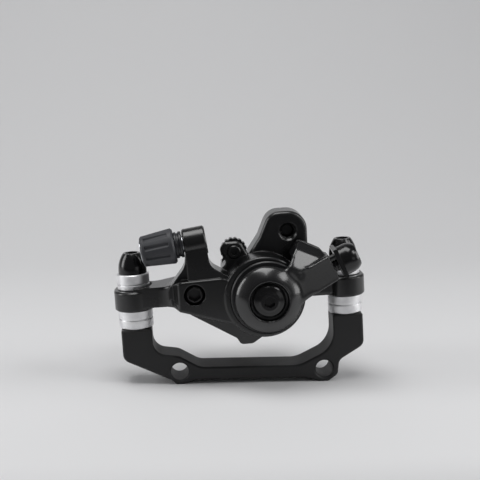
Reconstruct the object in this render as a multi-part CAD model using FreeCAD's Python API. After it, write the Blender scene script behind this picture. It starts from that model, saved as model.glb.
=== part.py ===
# Mechanical disc brake: a cable-pulled caliper on its frame adapter.
# Millimetres. +Z up, +X along the two frame holes, +Y away from the arm, towards the wheel.
# The origin lies midway between the two frame holes, in the middle of the adapter's thickness.
#
# The caliper sits a few degrees out of level on the adapter. It is drawn level, in its own
# frame, whose origin is midway between the two posts on their seats, and is then tilted and
# moved as a whole. In that frame x runs along the posts, z up the mounting bolts.

import FreeCAD, Part
import math
import os

Vec = FreeCAD.Vector
FRONT = Vec(0, -1, 0)
BACK = Vec(0, 1, 0)
UP = Vec(0, 0, 1)

# Standard interfaces
FRAME_SPACING = 51.0        # between the two holes on the bicycle's frame
FRAME_HOLE_R = 3.1
POST_SPACING = 74.0         # between the two posts that carry a caliper
M6_R = 3.0
M5_R = 2.5
ROTOR_R = 80.0              # brake rotor, 160 mm across
ROTOR_Y = 15.5              # middle plane of the rotor

# Adapter bracket
ADAPTER_T = 12.0
POST_TILT = 3.36            # degrees, the right post is the taller
SEAT_MID_X = -3.45          # midpoint between the post seats
SEAT_MID_Z = 17.42
POST_W = 10.6
POST_THREAD_DEPTH = 10.6
BAR_TOP = 1.4
BAR_BOTTOM = -3.1
FOOT_R = 4.6                # round foot about each frame hole
BAR_ROUND = 6.0             # where the bar turns up into the feet and the posts
FOOT_CREST = (-0.2, 0.9)    # highest point over the left foot, from its hole and its rim
POST_ROUND = 5.0            # between that crest and the left post
POST_DROP = 9.0             # inner side of the left post, down from its seat
EDGE_BREAK = 0.5

# Dished washers and mounting bolts
WASHER_R = 5.95
WASHER_BORE_R = 3.6
CUP_RADIUS = 12.0           # radius of the dished faces
LOWER_CUP_H = 3.3
LOWER_BALL_H = 3.4
UPPER_WASHER_R = 5.6
UPPER_CUP_H = 2.0
UPPER_BALL_H = 3.5
WASHER_EDGE = 0.3           # broken edge of every washer
WASHER_ROOM = 0.6           # cleared in the body about the washers
BOLT_HEAD_R = 4.9
BOLT_HEAD_MID_R = 4.55
BOLT_HEAD_TOP_R = 2.9
BOLT_HEAD_RIM = 0.5         # straight part of the head, under its rounded side
BOLT_HEAD_H = 7.1
BOLT_ENGAGEMENT = 9.8
BOLT_SOCKET = 4.0           # across the flats
BOLT_SOCKET_DEPTH = 3.0

# Ears of the caliper
EAR_R = 6.9
EAR_T = 7.0
EAR_SLOT_R = 3.3
EAR_SLOT_HALF = 1.6         # half the side play of the bolts

# Actuator axis, along which everything in the caliper works
HUB_X = 8.4
HUB_Z = 10.6
BOSS_X = -0.9               # the round boss stands a little left of the axis
BOSS_R = 14.0
BOSS_FRONT = -15.6
CHAMBER_R = 10.4
CHAMBER_END = 6.0

# Outer body
PLATE_FRONT = -15.2
LUG_FRONT = -5.5            # front face of the lobe and of the tab
CORE_FRONT = -3.0
NECK_HALF = 7.6             # the necks reach this far in front of the bolts
NECK_BACK = 8.0
NECK_STEP = 1.6             # the right neck's front lies this far behind the left one's
NECK_WAIST = 3.2            # how far the left neck reaches back beside its ear
WALL_R = 12.1               # round wall about the chamber, behind the boss
NECK_BOTTOM = 7.9
NECK_TOP = 14.9
SWEEP_R = 6.0               # hollow in which the left neck runs out into the plate
PLATE_ROUND = 0.8
FRONT_BOLT_X = -16.2
FRONT_BOLT_Z = 13.0
LOBE_X = 17.5
LOBE_Z = 30.8
LOBE_R = 6.8
LOBE_ROUND = 1.4
TAB_X = -1.5
TAB_Z = 25.0
TAB_BACK = -3.4
BRIDGE_TOP = 17.7           # top of the halves where the front bolt joins them
WINDOW_TOP = 18.9           # top of the outer half beside the valley of the lugs
SHOULDER_TOP = 22.9         # top of the outer half under the inner half's lug
LUG_BACK = 4.0              # the lobe ends here and the inner half's lug begins
FIN_DROP = 19.3             # from the arm's axis to the lowest point of the halves

# Cable post and barrel adjuster
CABLE_Y = -9.4              # plane that the cable runs in
CABLE_ANGLE = 7.2           # degrees, the barrel rises towards the post
CABLE_X = -14.9             # middle of the post
CABLE_Z = 30.35
POST_BOSS_R = 5.0
POST_BOSS_L = 7.8
POST_WALL = 1.2             # left at the inner end of the sleeve's hole
SLEEVE_THREAD_R = 2.9
SLEEVE_HEAD_R = 3.7
HOUSING_R = 2.6             # seat of a 5 mm cable housing
HOUSING_DEPTH = 8.0
CABLE_HOLE_R = 1.1
COLLAR_R = 4.5
COLLAR_L = 2.7
COLLAR_GROOVE = 0.4
COVER_L = 11.4
COVER_R_NEAR = 6.1          # beside the collar
COVER_R_FAR = 5.2
COVER_FLUTES = 10
COVER_FLUTE_R = 1.0

# Arm
ARM_ANGLE = 22.2            # degrees, direction of the arm at rest
HUB_R = 11.7
ARM_BACK = -17.5
HUB_EDGE = -19.4
HUB_FRONT = -22.8
HUB_MID_R = 9.9             # half way up its domed side
HUB_RECESS_R = 6.65
HUB_RECESS_FLOOR = -21.0
CENTRE_BOLT_L = 7.0
CENTRE_HEAD_R = 5.65
CENTRE_HEAD_H = 2.1
CENTRE_SOCKET = 3.6
CENTRE_SOCKET_DEPTH = 1.7
ARM_END = 24.8              # end face, from the axis
ARM_TOP = 3.8
ARM_BOTTOM = -5.2
ARM_FRONT = -20.6           # front of the arm where it leaves the hub
ARM_TIP_FRONT = -16.4
CAM_BACK = -7.2
CAM_FRONT = -19.8
CAM_STEP = -15.0            # where its front turns steeply back to the rim
CAM_CORNER = (17.9, 12.4)   # along and across the arm
CAM_END = (23.3, 6.1)
CAM_FOOT = (19.0, 1.5)
CAM_CREST = (13.8, 3.4)     # its front falls from here to the knee
CAM_KNEE = (18.9, 7.2)
CAM_RIM = (20.6, 8.6)
CAM_RIM_FALL = 3.3          # from the knee back to the rim
CAM_SIDE = (20.0, 5.4)      # its right side falls from here
CAM_SIDE_END = (21.6, 3.3)
CAM_SIDE_LEAD = 2.0         # the side begins this far in front of the step
CAM_SIDE_FALL = 3.6
BOSS_CLEARANCE = 0.9        # round the boss and the dust ring
ARM_GAP = 0.3               # left between arm and boss when the brake is on
GROOVE_R = 1.1
PINCH_Y = -12.0
PINCH_PLATE_GAP = 1.8
PINCH_PLATE_T = 1.5
PINCH_HEAD_R = 5.15
PINCH_HEAD_MID_R = 4.85
PINCH_HEAD_TOP_R = 3.7
PINCH_HEAD_RIM = 2.4
PINCH_HEAD_H = 5.8
PINCH_SOCKET = 4.0
PINCH_SOCKET_DEPTH = 2.6
PINCH_THREAD = 9.0          # depth of its hole in the block
TANG_R = 1.0                # pin that keeps the clamp plate from turning
TANG_ACROSS = 2.5
TANG_Y = -15.0
TANG_FIT = 0.15
TANG_LENGTH = 1.5           # of the pin in the block
TANG_HOLE_DEPTH = 2.0

# Ball and ramp mechanism
LEAD_PER_DEGREE = 0.03      # travel of the piston for each degree of the arm
FULL_TURN = 360.0           # degrees
ARM_TRAVEL = 35.0           # degrees
BALL_R = 2.0
BALL_COUNT = 3
BALL_OFFSET = 0.2           # the balls run nearer the shaft than midway to the chamber
BALL_FIT = 0.1
BALL_Y = -9.9
PLATE_GAP = 1.0             # between the ball plate and the spindle's flange
BALL_PLATE_T = 3.0
FLANGE_T = 3.4
SPINDLE_R = 4.0
SPINDLE_HEX = 6.6           # across the flats of the drive hexagon
RUNNING_FIT = 0.08
THRUST_T = 1.0
PISTON_FLANGE_T = 3.0
SPRING_ROOM = 2.3           # round the piston's stem, for its spring
PISTON_FIT = 0.1
DUST_RING_R = 12.5
DUST_RING_T = 2.0
DUST_PROUD = 0.6            # the ring stands in front of the boss by this
SPRING_WIRE_R = 0.55
RETURN_COIL_R = 7.6
SPRING_LEG = 1.2            # how far the legs stand in the arm and in the ball plate
LEG_FIT = 0.2               # round a leg in its hole
LEG_ROOM = 0.3              # beyond its end
MAGNET_T = 2.6
PISTON_MAGNET_R = 5.0
ADJUSTER_MAGNET_R = 4.0

# Pads
PAD_W = 22.0
PAD_H = 15.0
PAD_DROP = 1.5              # the pads and their adjuster sit below the arm's axis
PAD_PLATE_T = 1.8
LINING_T = 2.0
LINING_MARGIN = 1.2
ROTOR_GAP = 0.35            # from lining to rotor at rest
ROTOR_T = 1.9
PAD_FIT = 0.35
SLOT_HALF = 2.5             # half the width of the rotor slot
ROTOR_CLEARANCE = 1.2
PAD_REACH = 8.0             # from the rotor's rim in to the middle of the pads
ROTOR_LEAN = 20.0           # degrees, the wheel's axis lies down and to the right

# Inner body and its adjuster
INNER_BACK = 26.5
INNER_BOSS_R = 8.6
INNER_BOSS_BACK = 28.4
ADJUSTER_R = 6.4
ADJUSTER_GROOVE = 0.9
KNOB_R = 7.6
KNOB_T = 3.0
KNOB_GAP = 1.5              # from the boss to the knob with the pad wound right back
KNOB_LOBES = 12
KNOB_SOCKET = 5.0
KNOB_SOCKET_DEPTH = 4.0
ADJUSTER_GROOVE_W = 1.8
ADJUSTER_GROOVE_IN = 1.6    # from the boss's face in to the groove
RING_PLAY = 0.1             # each side of the ring in its groove
LUG_END = 13.0              # the inner half's lug reaches forward from here
BRIDGE_LOW = 23.3
BRIDGE_HIGH = 28.5
DRAFT = 0.23                # fall of the inner half's top for each millimetre backwards

# Body bolts, tab screw and its nut
BODY_BOLT_HEAD_R = 3.4
BODY_BOLT_HEAD_H = 3.8
BODY_BOLT_CHAMFER = 0.9
BODY_BOLT_SOCKET = 4.0
BODY_BOLT_SOCKET_DEPTH = 2.4
HEAD_ROOM = 0.25            # about a head that is let into the body
TIP_DEPTH = 4.0             # of the rear bolt's end below the face of the lobe
BODY_BOLT_FIT = 0.15
TAB_SCREW_R = 1.5
TAB_SCREW_HEAD_R = 2.3
TAB_SCREW_DEPTH = 1.1       # of its head in the tab
TAB_SCREW_END = -0.2
TAB_NUT_R = 4.6
TAB_NUT_T = 2.4
TAB_NUT_TEETH = 16
TAB_SCREW_SOCKET = 2.2
TAB_SCREW_SOCKET_DEPTH = 1.2
TAB_SCREW_PROUD = 0.4       # its head in front of the tab

# Heights above the post seats that follow from the stack
EAR_BOTTOM = LOWER_CUP_H + LOWER_BALL_H
EAR_TOP = EAR_BOTTOM + EAR_T
HEAD_SEAT = EAR_TOP + UPPER_CUP_H + UPPER_BALL_H
HALF_POSTS = POST_SPACING / 2

# Radii that follow from the chamber
PISTON_R = CHAMBER_R - SPRING_ROOM
PISTON_BORE_R = PISTON_R + PISTON_FIT
BALL_CIRCLE_R = (SPINDLE_R + CHAMBER_R) / 2 - BALL_OFFSET

# Depths and places that follow from the rotor and the balls
PAD_RADIUS = ROTOR_R - PAD_REACH
OUTER_LINING_FACE = ROTOR_Y - ROTOR_T / 2 - ROTOR_GAP
OUTER_PLATE_BACK = OUTER_LINING_FACE - LINING_T
OUTER_PLATE_FRONT = OUTER_PLATE_BACK - PAD_PLATE_T
INNER_LINING_FACE = ROTOR_Y + ROTOR_T / 2 + ROTOR_GAP
INNER_PLATE_FRONT = INNER_LINING_FACE + LINING_T
INNER_PLATE_BACK = INNER_PLATE_FRONT + PAD_PLATE_T
BALL_PLATE_BACK = BALL_Y - PLATE_GAP / 2
FLANGE_FRONT = BALL_Y + PLATE_GAP / 2
FLANGE_BACK = FLANGE_FRONT + FLANGE_T
PISTON_FRONT = FLANGE_BACK + THRUST_T
DUST_FRONT = BOSS_FRONT - DUST_PROUD
TRAVEL = LEAD_PER_DEGREE * ARM_TRAVEL
SLOT_FRONT = ROTOR_Y - SLOT_HALF
SLOT_BACK = ROTOR_Y + SLOT_HALF
PAD_Z = HUB_Z - PAD_DROP
FIN_BOTTOM = HUB_Z - FIN_DROP
ROTOR_X = HUB_X + PAD_RADIUS * math.sin(math.radians(ROTOR_LEAN))
ROTOR_Z = HUB_Z - PAD_RADIUS * math.cos(math.radians(ROTOR_LEAN))


def wire_of(corners, y=0.0):
    """Closed outline in the XZ plane from corners (x, z, corner radius)."""
    count = len(corners)
    starts = []
    ends = []
    middles = []
    for i in range(count):
        x, z, r = corners[i]
        here = Vec(x, y, z)
        before = Vec(corners[i - 1][0], y, corners[i - 1][1]) - here
        after = Vec(corners[(i + 1) % count][0], y, corners[(i + 1) % count][1]) - here
        before.normalize()
        after.normalize()
        half = before.getAngle(after) / 2
        if r == 0:
            starts.append(here)
            ends.append(here)
            middles.append(None)
            continue
        run = r / math.tan(half)
        inwards = before + after
        inwards.normalize()
        centre = here + inwards * (r / math.sin(half))
        starts.append(here + before * run)
        ends.append(here + after * run)
        middles.append(centre - inwards * r)
    edges = []
    for i in range(count):
        if middles[i] is not None:
            edges.append(Part.Arc(starts[i], middles[i], ends[i]).toShape())
        following = starts[(i + 1) % count]
        if (following - ends[i]).Length > 1e-4:
            edges.append(Part.LineSegment(ends[i], following).toShape())
    return Part.Wire(edges)


def slab(corners, front, back):
    """Flat piece with that outline, from depth front to depth back."""
    return Part.Face(wire_of(corners, front)).extrude(Vec(0, back - front, 0))


def disc(r, front, back, x=0.0, z=0.0):
    """Cylinder along Y."""
    return Part.makeCylinder(r, back - front, Vec(x, front, z), BACK)


def ring(outer, inner, front, back, x=0.0, z=0.0):
    return disc(outer, front, back, x, z).cut(disc(inner, front, back, x, z))


def hexagon(flats, length, start, direction):
    """Hexagonal prism from start, by its width across the flats."""
    turn = FreeCAD.Rotation(UP, direction)
    corners = []
    for i in range(7):
        angle = math.radians(60 * i + 30)
        corner = Vec(math.cos(angle), math.sin(angle), 0) * (flats / math.sqrt(3))
        corners.append(start + turn.multVec(corner))
    return Part.Face(Part.makePolygon(corners)).extrude(direction * length)


def turned(profile, start, direction):
    """Solid of revolution from (radius, height) points about an axis."""
    points = [Vec(r, 0, h) for r, h in profile]
    solid = Part.Face(Part.makePolygon(points + points[:1])).revolve(Vec(0, 0, 0), UP, 360)
    solid.Placement = FreeCAD.Placement(start, FreeCAD.Rotation(UP, direction))
    return solid


def domed(r, mid_r, top_r, low, rim, top):
    """Turned head, straight from low to rim and rounded from there to the top."""
    side = Part.Arc(Vec(r, 0, rim), Vec(mid_r, 0, (rim + top) / 2), Vec(top_r, 0, top)).toShape()
    rest = Part.makePolygon([Vec(top_r, 0, top), Vec(0, 0, top), Vec(0, 0, low), Vec(r, 0, low),
                             Vec(r, 0, rim)])
    return Part.Face(Part.Wire([side] + rest.Edges)).revolve(Vec(0, 0, 0), UP, 360)


def in_frame(shape, start, direction):
    """Place a shape drawn about +Z so that it stands on start along direction."""
    shape = shape.copy()
    shape.Placement = FreeCAD.Placement(start, FreeCAD.Rotation(UP, direction))
    return shape


def seen_from_above(corners, low, high):
    """Flat piece with an outline of corners (x, y, corner radius), from height low to high."""
    shape = slab([(x, -y, r) for x, y, r in corners], low, high)
    shape.rotate(Vec(0, 0, 0), Vec(1, 0, 0), 90)
    return shape


def fused(first, *others):
    return first.fuse(list(others)).removeSplitter()


def tilted(shape):
    """From the caliper's frame to the part's frame."""
    shape = shape.copy()
    shape.rotate(Vec(0, 0, 0), Vec(0, 1, 0), -POST_TILT)
    shape.translate(Vec(SEAT_MID_X, 0, SEAT_MID_Z))
    return shape


def row_point(x, z):
    """Where a point of the caliper's frame lies in the part's frame."""
    angle = math.radians(POST_TILT)
    across = SEAT_MID_X + x * math.cos(angle) - z * math.sin(angle)
    up = SEAT_MID_Z + x * math.sin(angle) + z * math.cos(angle)
    return across, up


def corner(x, z, r=0.0):
    """Outline corner of the adapter at a point of the caliper's frame."""
    across, up = row_point(x, z)
    return (across, up, r)


def around_hub(x, z, r=0.0):
    """Outline corner given along and across the arm, from the hub's axis."""
    angle = math.radians(ARM_ANGLE)
    return (HUB_X + x * math.cos(angle) - z * math.sin(angle),
            HUB_Z + x * math.sin(angle) + z * math.cos(angle), r)


# Adapter

def mount_adapter():
    """U-shaped bracket: bar, round feet at the frame holes and two posts."""
    half_w = POST_W / 2
    hole = FRAME_SPACING / 2
    left = -HALF_POSTS
    crest = FOOT_CREST[0] - hole
    post_side = corner(left + half_w, -POST_DROP)[0]
    post_round = min(POST_ROUND, crest - post_side)
    outline = [
        corner(left - half_w, 0, 0.6),
        corner(left - half_w, -10.6, 3.2),
        (-hole - 3.0, BAR_BOTTOM, 3.0),
        (-hole - 1.4, -FOOT_R, 2.0),
        (-hole + 1.9, -FOOT_R, 2.5),
        (-hole + BAR_ROUND, BAR_BOTTOM, BAR_ROUND),
        (hole - BAR_ROUND, BAR_BOTTOM, BAR_ROUND),
        (hole - 1.9, -FOOT_R, 2.5),
        (hole + 1.6, -FOOT_R, 2.0),
        (hole + 4.8, -2.2, 2.2),
        (hole + 5.3, 3.0, 3.0),
        corner(HALF_POSTS + half_w, -11.4, 3.2),
        corner(HALF_POSTS + half_w, 0, 0.6),
        corner(HALF_POSTS - half_w, 0, 0.6),
        corner(HALF_POSTS - half_w, -11.6, 1.5 * BAR_ROUND),
        (hole - 9.0, BAR_TOP, 1.5 * BAR_ROUND),
        (-hole + 7.2, BAR_TOP, BAR_ROUND),
        (crest, FOOT_R + FOOT_CREST[1], BAR_ROUND),
        corner(left + half_w, -POST_DROP, post_round),
        corner(left + half_w, 0, 0.6),
    ]
    front = -ADAPTER_T / 2
    back = ADAPTER_T / 2
    bracket = slab(outline, front, back)
    rims = [e for e in bracket.Edges if abs(e.BoundBox.YMax - e.BoundBox.YMin) < 1e-6]
    bracket = bracket.makeChamfer(EDGE_BREAK, rims)
    for x in (-hole, hole):
        bracket = bracket.cut(disc(FRAME_HOLE_R, front, back, x))
        for face, inwards in ((front, BACK), (back, FRONT)):
            mouth = Part.makeCone(FRAME_HOLE_R + EDGE_BREAK, FRAME_HOLE_R, EDGE_BREAK,
                                  Vec(x, face, 0), inwards)
            bracket = bracket.cut(mouth)
    for x in (left, HALF_POSTS):
        hole_in_post = Part.makeCylinder(M6_R + RUNNING_FIT, POST_THREAD_DEPTH,
                                         Vec(x, 0, -POST_THREAD_DEPTH), UP)
        bracket = bracket.cut(tilted(hole_in_post))
    return bracket


# Dished washers and mounting bolts

def sag(r):
    """Depth of the dished face at radius r."""
    return CUP_RADIUS - math.sqrt(CUP_RADIUS ** 2 - r ** 2)


def edges_broken(washer, r):
    """Washer with a small chamfer along both of its outer edges."""
    rims = [e for e in washer.Edges if isinstance(e.Curve, Part.Circle) and abs(e.Curve.Radius - r) < 1e-6]
    return washer.makeChamfer(WASHER_EDGE, rims)


def cup_washer(r, rim_height, bottom):
    """Washer whose upper face is dished; rim_height is seen from outside."""
    blank = Part.makeCylinder(r, rim_height, Vec(0, 0, bottom), UP)
    low = bottom + rim_height - sag(r)
    ball = Part.makeSphere(CUP_RADIUS, Vec(0, 0, low + CUP_RADIUS))
    bore = Part.makeCylinder(WASHER_BORE_R, rim_height, Vec(0, 0, bottom), UP)
    return edges_broken(blank.cut(ball).cut(bore), r)


def ball_washer(r, rim_height, bottom):
    """Washer whose lower face is domed to fit the cup below it."""
    low = bottom - sag(r)
    blank = Part.makeCylinder(r, rim_height + sag(r), Vec(0, 0, low), UP)
    ball = Part.makeSphere(CUP_RADIUS, Vec(0, 0, low + CUP_RADIUS))
    bore = Part.makeCylinder(WASHER_BORE_R, rim_height + sag(r), Vec(0, 0, low), UP)
    return edges_broken(blank.common(ball).cut(bore), r)


def on_both_posts(solid):
    copies = []
    for x in (-HALF_POSTS, HALF_POSTS):
        copy = solid.copy()
        copy.translate(Vec(x, 0, 0))
        copies.append(tilted(copy))
    return Part.makeCompound(copies)


def mounting_bolt():
    """Bullet-shaped head with a hexagon socket, on a plain shank."""
    top = HEAD_SEAT + BOLT_HEAD_H
    head = domed(BOLT_HEAD_R, BOLT_HEAD_MID_R, BOLT_HEAD_TOP_R, HEAD_SEAT, HEAD_SEAT + BOLT_HEAD_RIM, top)
    shank = Part.makeCylinder(M6_R, HEAD_SEAT + BOLT_ENGAGEMENT, Vec(0, 0, -BOLT_ENGAGEMENT), UP)
    socket = hexagon(BOLT_SOCKET, BOLT_SOCKET_DEPTH, Vec(0, 0, top - BOLT_SOCKET_DEPTH), UP)
    return fused(head, shank).cut(socket)


# Outer body

def ear(x):
    """Rounded ear with a slot for the mounting bolt."""
    side = EAR_SLOT_HALF - 0.2
    blank = fused(
        Part.makeCylinder(EAR_R, EAR_T, Vec(x, -side, EAR_BOTTOM), UP),
        Part.makeCylinder(EAR_R, EAR_T, Vec(x, side, EAR_BOTTOM), UP),
        Part.makeBox(2 * EAR_R, 2 * side, EAR_T, Vec(x - EAR_R, -side, EAR_BOTTOM)))
    rims = [e for e in blank.Edges if abs(e.BoundBox.ZMax - e.BoundBox.ZMin) < 1e-6]
    return blank.makeChamfer(EDGE_BREAK, rims)


def ear_slot(x):
    height = 3 * EAR_T
    low = EAR_BOTTOM - EAR_T
    return fused(
        Part.makeCylinder(EAR_SLOT_R, height, Vec(x, -EAR_SLOT_HALF, low), UP),
        Part.makeCylinder(EAR_SLOT_R, height, Vec(x, EAR_SLOT_HALF, low), UP),
        Part.makeBox(2 * EAR_SLOT_R, 2 * EAR_SLOT_HALF, height, Vec(x - EAR_SLOT_R, -EAR_SLOT_HALF, low)))


def washer_room(x):
    """Flat seats above and below an ear, with room for the washers and the head."""
    radius = WASHER_R + WASHER_ROOM
    height = 3 * EAR_T
    above = Part.makeCylinder(radius, height, Vec(x, 0, EAR_TOP), UP)
    below = Part.makeCylinder(radius, height, Vec(x, 0, EAR_BOTTOM - height), UP)
    return above, below


def core_outline():
    """Outline of the outer half about the pads, seen from the front."""
    return [
        (FRONT_BOLT_X - 5.0, FRONT_BOLT_Z - 2.3, 2.0),
        (FRONT_BOLT_X - 5.6, FRONT_BOLT_Z - 6.0, 3.0),
        (FRONT_BOLT_X - 1.4, FRONT_BOLT_Z - 9.9, 2.0),
        (HUB_X - 10.6, HUB_Z - 16.9, 1.6),
        (HUB_X - 9.2, FIN_BOTTOM, 1.6),
        (HUB_X - 5.0, FIN_BOTTOM, 2.5),
        (HUB_X + 13.5, HUB_Z - 7.5, 6.0),
        (HUB_X + 15.8, HUB_Z + 3.0, 5.0),
        (LOBE_X + LOBE_R - 0.2, SHOULDER_TOP, 1.5),
        (HUB_X + 0.6, SHOULDER_TOP, 1.5),
        (HUB_X - 2.8, WINDOW_TOP, 1.0),
        (HUB_X - 13.4, WINDOW_TOP, 2.0),
        (HUB_X - 14.2, HUB_Z + 2.6, 1.5),
        (FRONT_BOLT_X + 6.7, HUB_Z + 2.6, 1.5),
        (FRONT_BOLT_X + 5.7, BRIDGE_TOP, 2.0),
        (FRONT_BOLT_X - 2.6, BRIDGE_TOP, 3.5),
    ]


def lobe_outline():
    """Upper lug that takes the rear body bolt; it leans over from the left."""
    top = LOBE_Z + LOBE_R + 0.3
    return [
        (LOBE_X - 16.0, LOBE_Z - 10.4, 0),
        (LOBE_X - 13.8, LOBE_Z - 6.6, 2.0),
        (LOBE_X - 10.2, LOBE_Z - 1.6, 6.0),
        (LOBE_X - 6.2, top, 5.5),
        (LOBE_X + LOBE_R, top, LOBE_R - 0.2),
        (LOBE_X + LOBE_R - 0.2, LOBE_Z - 14.0, 0),
    ]


def tab_outline():
    """Small lug about the tab screw, on a waist that runs out into the body."""
    return [
        (TAB_X - 6.6, WINDOW_TOP - 1.0, 0),
        (TAB_X - 2.6, TAB_Z - 3.8, 2.2),
        (TAB_X - 5.1, TAB_Z + 1.0, 2.0),
        (TAB_X - 3.4, TAB_Z + 3.6, 2.0),
        (TAB_X + 2.4, TAB_Z + 3.6, 2.8),
        (TAB_X + 4.6, TAB_Z - 1.0, 1.6),
        (LOBE_X - 11.0, LOBE_Z - 7.0, 0),
        (HUB_X + 1.0, WINDOW_TOP - 1.0, 0),
    ]


def front_plate():
    """Raised plate about the front bolt; on its left it sweeps back to the neck."""
    left = -HALF_POSTS
    outline = [
        (left, NECK_TOP, 0),
        (FRONT_BOLT_X - 9.6, NECK_TOP, 5.0),
        (FRONT_BOLT_X - 4.4, FRONT_BOLT_Z + 4.7, 2.2),
        (FRONT_BOLT_X + 9.0, FRONT_BOLT_Z + 5.2, 2.0),
        (HUB_X - 7.0, HUB_Z + 5.5, 0),
        (HUB_X - 7.0, HUB_Z - 8.0, 0),
        (HUB_X - 11.6, HUB_Z - 8.9, 0),
        (FRONT_BOLT_X - 1.2, FRONT_BOLT_Z - 6.9, 3.0),
        (FRONT_BOLT_X - 7.0, NECK_BOTTOM, 3.0),
        (left, NECK_BOTTOM, 0),
    ]
    plate = slab(outline, PLATE_FRONT, CORE_FRONT + 1)
    plan = seen_from_above([
        (left, -NECK_HALF, 0),
        (FRONT_BOLT_X - 8.6, -NECK_HALF, SWEEP_R),
        (FRONT_BOLT_X - 5.4, PLATE_FRONT, 1.0),
        (HUB_X - 7.0, PLATE_FRONT, 0),
        (HUB_X - 7.0, CORE_FRONT + 1, 0),
        (left, CORE_FRONT + 1, 0),
    ], FIN_BOTTOM, NECK_TOP + EAR_T)
    return plate.common(plan)


def plate_rims(plate):
    """Edges along the front of the plate and of its sweep, except at its two ends."""
    rims = []
    for edge in plate.Edges:
        box = edge.BoundBox
        middle = edge.valueAt((edge.FirstParameter + edge.LastParameter) / 2)
        at_ends = middle.x < 0.1 - HALF_POSTS or middle.x > HUB_X - 7.1 - 1e-3
        behind = middle.y > -NECK_HALF + 0.1
        straight_back = box.YMax - box.YMin > SWEEP_R
        if not at_ends and not behind and not straight_back:
            rims.append(edge)
    return rims


def cable_axis():
    """Unit vector along the cable, from the barrel towards the arm."""
    angle = math.radians(CABLE_ANGLE)
    return Vec(math.cos(angle), 0, math.sin(angle))


def cable_point(along):
    """Point on the cable's axis, measured from the middle of the post."""
    return Vec(CABLE_X, CABLE_Y, CABLE_Z) + cable_axis() * along


def cable_post():
    """Round boss across the cable, on a web that flares into the plate."""
    half = POST_BOSS_L / 2
    boss = Part.makeCylinder(POST_BOSS_R, POST_BOSS_L, cable_point(-half), cable_axis())
    rims = [e for e in boss.Edges if isinstance(e.Curve, Part.Circle)]
    boss = boss.makeChamfer(0.5, rims)
    low = FRONT_BOLT_Z + 1.0
    left_top = cable_point(-half + 0.25)
    right_top = cable_point(half - 0.25)
    web = slab([
        (left_top.x, left_top.z, 0),
        (FRONT_BOLT_X - 1.9, low + 10.0, 6.0),
        (FRONT_BOLT_X - 1.8, low, 0),
        (FRONT_BOLT_X + 12.0, low, 0),
        (FRONT_BOLT_X + 12.0, low + 4.4, 0),
        (right_top.x + 0.9, low + 8.2, 5.0),
        (right_top.x, right_top.z, 0),
    ], CABLE_Y - POST_BOSS_R + 0.3, CABLE_Y + POST_BOSS_R)
    flare = slab([
        (left_top.x + 0.4, left_top.z - 1.0, 0),
        (FRONT_BOLT_X - 2.6, low + 8.0, 7.0),
        (FRONT_BOLT_X - 8.8, NECK_TOP - 0.4, 3.0),
        (FRONT_BOLT_X - 8.8, low - 3.0, 0),
        (FRONT_BOLT_X, low - 3.0, 0),
        (FRONT_BOLT_X, left_top.z - 1.0, 0),
    ], CABLE_Y - 1.6, CABLE_Y + POST_BOSS_R)
    return fused(boss, web, flare)


def left_neck():
    """Flat bridge to the left ear, narrow beside the washers and wide at the body."""
    inner = FRONT_BOLT_X - 2.0
    return seen_from_above([
        (-HALF_POSTS, -NECK_HALF, 0),
        (inner, -NECK_HALF, 0),
        (inner, NECK_BACK + 2.0, 0),
        (FRONT_BOLT_X - 6.4, NECK_BACK + 0.6, 3.0),
        (EAR_R + 0.4 - HALF_POSTS, NECK_WAIST, 4.0),
        (-HALF_POSTS, EAR_R, 0),
    ], NECK_BOTTOM, NECK_TOP)


def right_neck():
    """Flat bridge to the right ear."""
    low_x = HUB_X + 8.0
    length = HALF_POSTS - low_x
    bottom = NECK_BOTTOM - 0.6
    front = NECK_STEP - NECK_HALF
    box = Part.makeBox(length, NECK_BACK - front, EAR_TOP - bottom, Vec(low_x, front, bottom))
    along = [e for e in box.Edges if e.BoundBox.XMax - e.BoundBox.XMin > length - 1e-6]
    return box.makeFillet(1.2, along)


def rotor_slot():
    """Space swept by the rotor's rim, with a window above the pads."""
    rim = disc(ROTOR_R + ROTOR_CLEARANCE, SLOT_FRONT, SLOT_BACK, ROTOR_X, ROTOR_Z)
    left = FRONT_BOLT_X + 7.2
    right = HUB_X + 1.2
    window = Part.makeBox(right - left, SLOT_BACK - SLOT_FRONT, BRIDGE_HIGH, Vec(left, SLOT_FRONT, PAD_Z))
    return fused(rim, window)


def pad_room():
    """Pocket for the two pads, open below, where they are put in."""
    half = PAD_W / 2 + PAD_FIT
    top = PAD_Z + PAD_H / 2 + PAD_FIT
    return slab([
        (HUB_X - half, top, 2.0),
        (HUB_X - half, FIN_BOTTOM - 1, 0),
        (HUB_X + half, FIN_BOTTOM - 1, 0),
        (HUB_X + half, top, 4.0),
    ], OUTER_PLATE_FRONT - 0.1, INNER_PLATE_BACK)


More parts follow.
